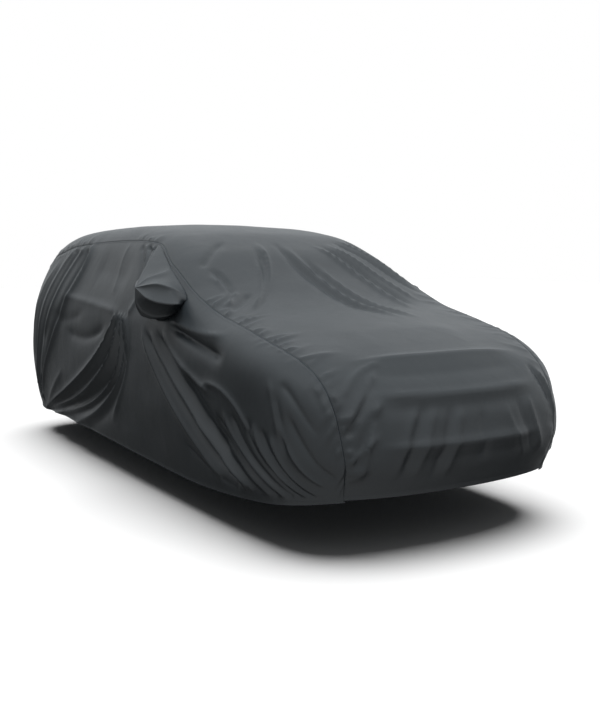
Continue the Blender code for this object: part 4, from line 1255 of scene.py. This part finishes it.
class COVER_OT_declare(bpy.types.Operator):
    """An empty step: it states no cut sizes"""
    bl_idname = "car_cover.declare"
    bl_label = "Cut sizes"

    def execute(self, context):
        return {"FINISHED"}


class COVER_OT_stage(bpy.types.Operator):
    """Set the pale floor, the studio light and the camera"""
    bl_idname = "car_cover.stage"
    bl_label = "Stage"

    def execute(self, context):
        stage = context.scene.cover_stage
        scene = context.scene
        bpy.ops.mesh.primitive_plane_add(size=FLOOR_SIZE, location=(0, 0, GROUND))
        floor = context.object
        floor.name = "studio_floor"
        material = bpy.data.materials.new("studio_floor")
        material.use_nodes = True
        shader = material.node_tree.nodes["Principled BSDF"]
        shader.inputs["Base Color"].default_value = stage.floor_colour
        shader.inputs["Roughness"].default_value = 0.9
        shader.inputs["Specular IOR Level"].default_value = 0.0
        floor.data.materials.append(material)
        floor.visible_diffuse = False
        floor.visible_glossy = False

        self.sun("key_light", stage.key_strength, stage.key_spread, KEY_FROM)
        self.sun("fill_light", stage.fill_strength, FILL_SPREAD, FILL_FROM)
        self.world(scene, stage.sky)

        data = bpy.data.cameras.new("camera")
        data.lens = CAMERA_LENS
        data.shift_y = CAMERA_SHIFT
        camera = bpy.data.objects.new("camera", data)
        scene.collection.objects.link(camera)
        camera.location = CAMERA_PLACE
        level = cos(CAMERA_PITCH)
        look = Vector((level * cos(CAMERA_HEADING), level * sin(CAMERA_HEADING),
                       sin(CAMERA_PITCH)))
        camera.rotation_euler = look.to_track_quat("-Z", "Y").to_euler()
        scene.camera = camera
        scene.view_settings.view_transform = "Standard"
        return {"FINISHED"}

    @staticmethod
    def sun(name, strength, spread, source):
        """A broad, distant light that comes from the direction of source."""
        data = bpy.data.lights.new(name, "SUN")
        data.energy = strength
        data.angle = spread
        light = bpy.data.objects.new(name, data)
        light.rotation_euler = Vector(source).to_track_quat("Z", "Y").to_euler()
        light.visible_glossy = False
        bpy.context.scene.collection.objects.link(light)

    @staticmethod
    def world(scene, glow):
        """White to look at; two broad glows light the cloth and shine on it."""
        world = bpy.data.worlds.new("studio")
        scene.world = world
        world.use_nodes = True
        nodes, links = world.node_tree.nodes, world.node_tree.links
        shown = nodes["Background"]
        shown.inputs["Color"].default_value = (1, 1, 1, 1)
        shown.inputs["Strength"].default_value = 1.0
        where = nodes.new("ShaderNodeTexCoord")
        falls = []
        for row in GLOWS:
            towards = nodes.new("ShaderNodeVectorMath")
            towards.operation = "DOT_PRODUCT"
            links.new(where.outputs["Generated"], towards.inputs[0])
            towards.inputs[1].default_value = Vector(row.axis).normalized()
            fall = nodes.new("ShaderNodeMapRange")
            fall.interpolation_type = "SMOOTHSTEP"
            fall.inputs["From Min"].default_value = row.start
            fall.inputs["From Max"].default_value = row.end
            fall.inputs["To Min"].default_value = glow * GLOW_LEAST
            fall.inputs["To Max"].default_value = glow * row.strength
            links.new(towards.outputs["Value"], fall.inputs["Value"])
            falls.append(fall)
        both = nodes.new("ShaderNodeMath")
        links.new(falls[0].outputs["Result"], both.inputs[0])
        links.new(falls[1].outputs["Result"], both.inputs[1])
        path = nodes.new("ShaderNodeLightPath")
        gain = nodes.new("ShaderNodeMapRange")
        gain.inputs["To Min"].default_value = GLOW_DIFFUSE
        gain.inputs["To Max"].default_value = 1.0
        links.new(path.outputs["Is Glossy Ray"], gain.inputs["Value"])
        strength = nodes.new("ShaderNodeMath")
        strength.operation = "MULTIPLY"
        links.new(both.outputs[0], strength.inputs[0])
        links.new(gain.outputs["Result"], strength.inputs[1])
        glowing = nodes.new("ShaderNodeBackground")
        glowing.inputs["Color"].default_value = (0.95, 0.98, 1, 1)
        links.new(strength.outputs[0], glowing.inputs["Strength"])
        mix = nodes.new("ShaderNodeMixShader")
        links.new(path.outputs["Is Camera Ray"], mix.inputs["Fac"])
        links.new(glowing.outputs[0], mix.inputs[1])
        links.new(shown.outputs[0], mix.inputs[2])
        links.new(mix.outputs[0], nodes["World Output"].inputs["Surface"])


OPERATORS = (COVER_OT_top_panel, COVER_OT_side_panels, COVER_OT_mirror_pockets,
             COVER_OT_stitching, COVER_OT_declare, COVER_OT_stage)


class COVER_PT_sidebar(bpy.types.Panel):
    """Lists the steps and sizes of the cover"""
    bl_idname = "COVER_PT_sidebar"
    bl_label = "Car Cover"
    bl_space_type = "VIEW_3D"
    bl_region_type = "UI"
    bl_category = "Car Cover"

    def draw(self, context):
        layout = self.layout
        for operator in OPERATORS:
            layout.operator(operator.bl_idname)
        for name in ("thickness", "cloth_colour", "thread_colour", "stitch_pitch",
                     "stitch_length", "stitch_radius"):
            layout.prop(context.scene.car_cover, name)
        for name in ("floor_colour", "key_strength", "fill_strength", "sky"):
            layout.prop(context.scene.cover_stage, name)


CLASSES = (CoverSettings, StageSettings) + OPERATORS + (COVER_PT_sidebar,)


def register():
    for cls in CLASSES:
        bpy.utils.register_class(cls)
    bpy.types.Scene.car_cover = bpy.props.PointerProperty(type=CoverSettings)
    bpy.types.Scene.cover_stage = bpy.props.PointerProperty(type=StageSettings)


def unregister():
    del bpy.types.Scene.cover_stage
    del bpy.types.Scene.car_cover
    for cls in reversed(CLASSES):
        bpy.utils.unregister_class(cls)


def main():
    register()
    bpy.ops.car_cover.top_panel()
    bpy.ops.car_cover.side_panels()
    bpy.ops.car_cover.mirror_pockets()
    bpy.ops.car_cover.stitching()
    bpy.ops.car_cover.declare()
    bpy.ops.car_cover.stage()


if __name__ == "__main__":
    main()
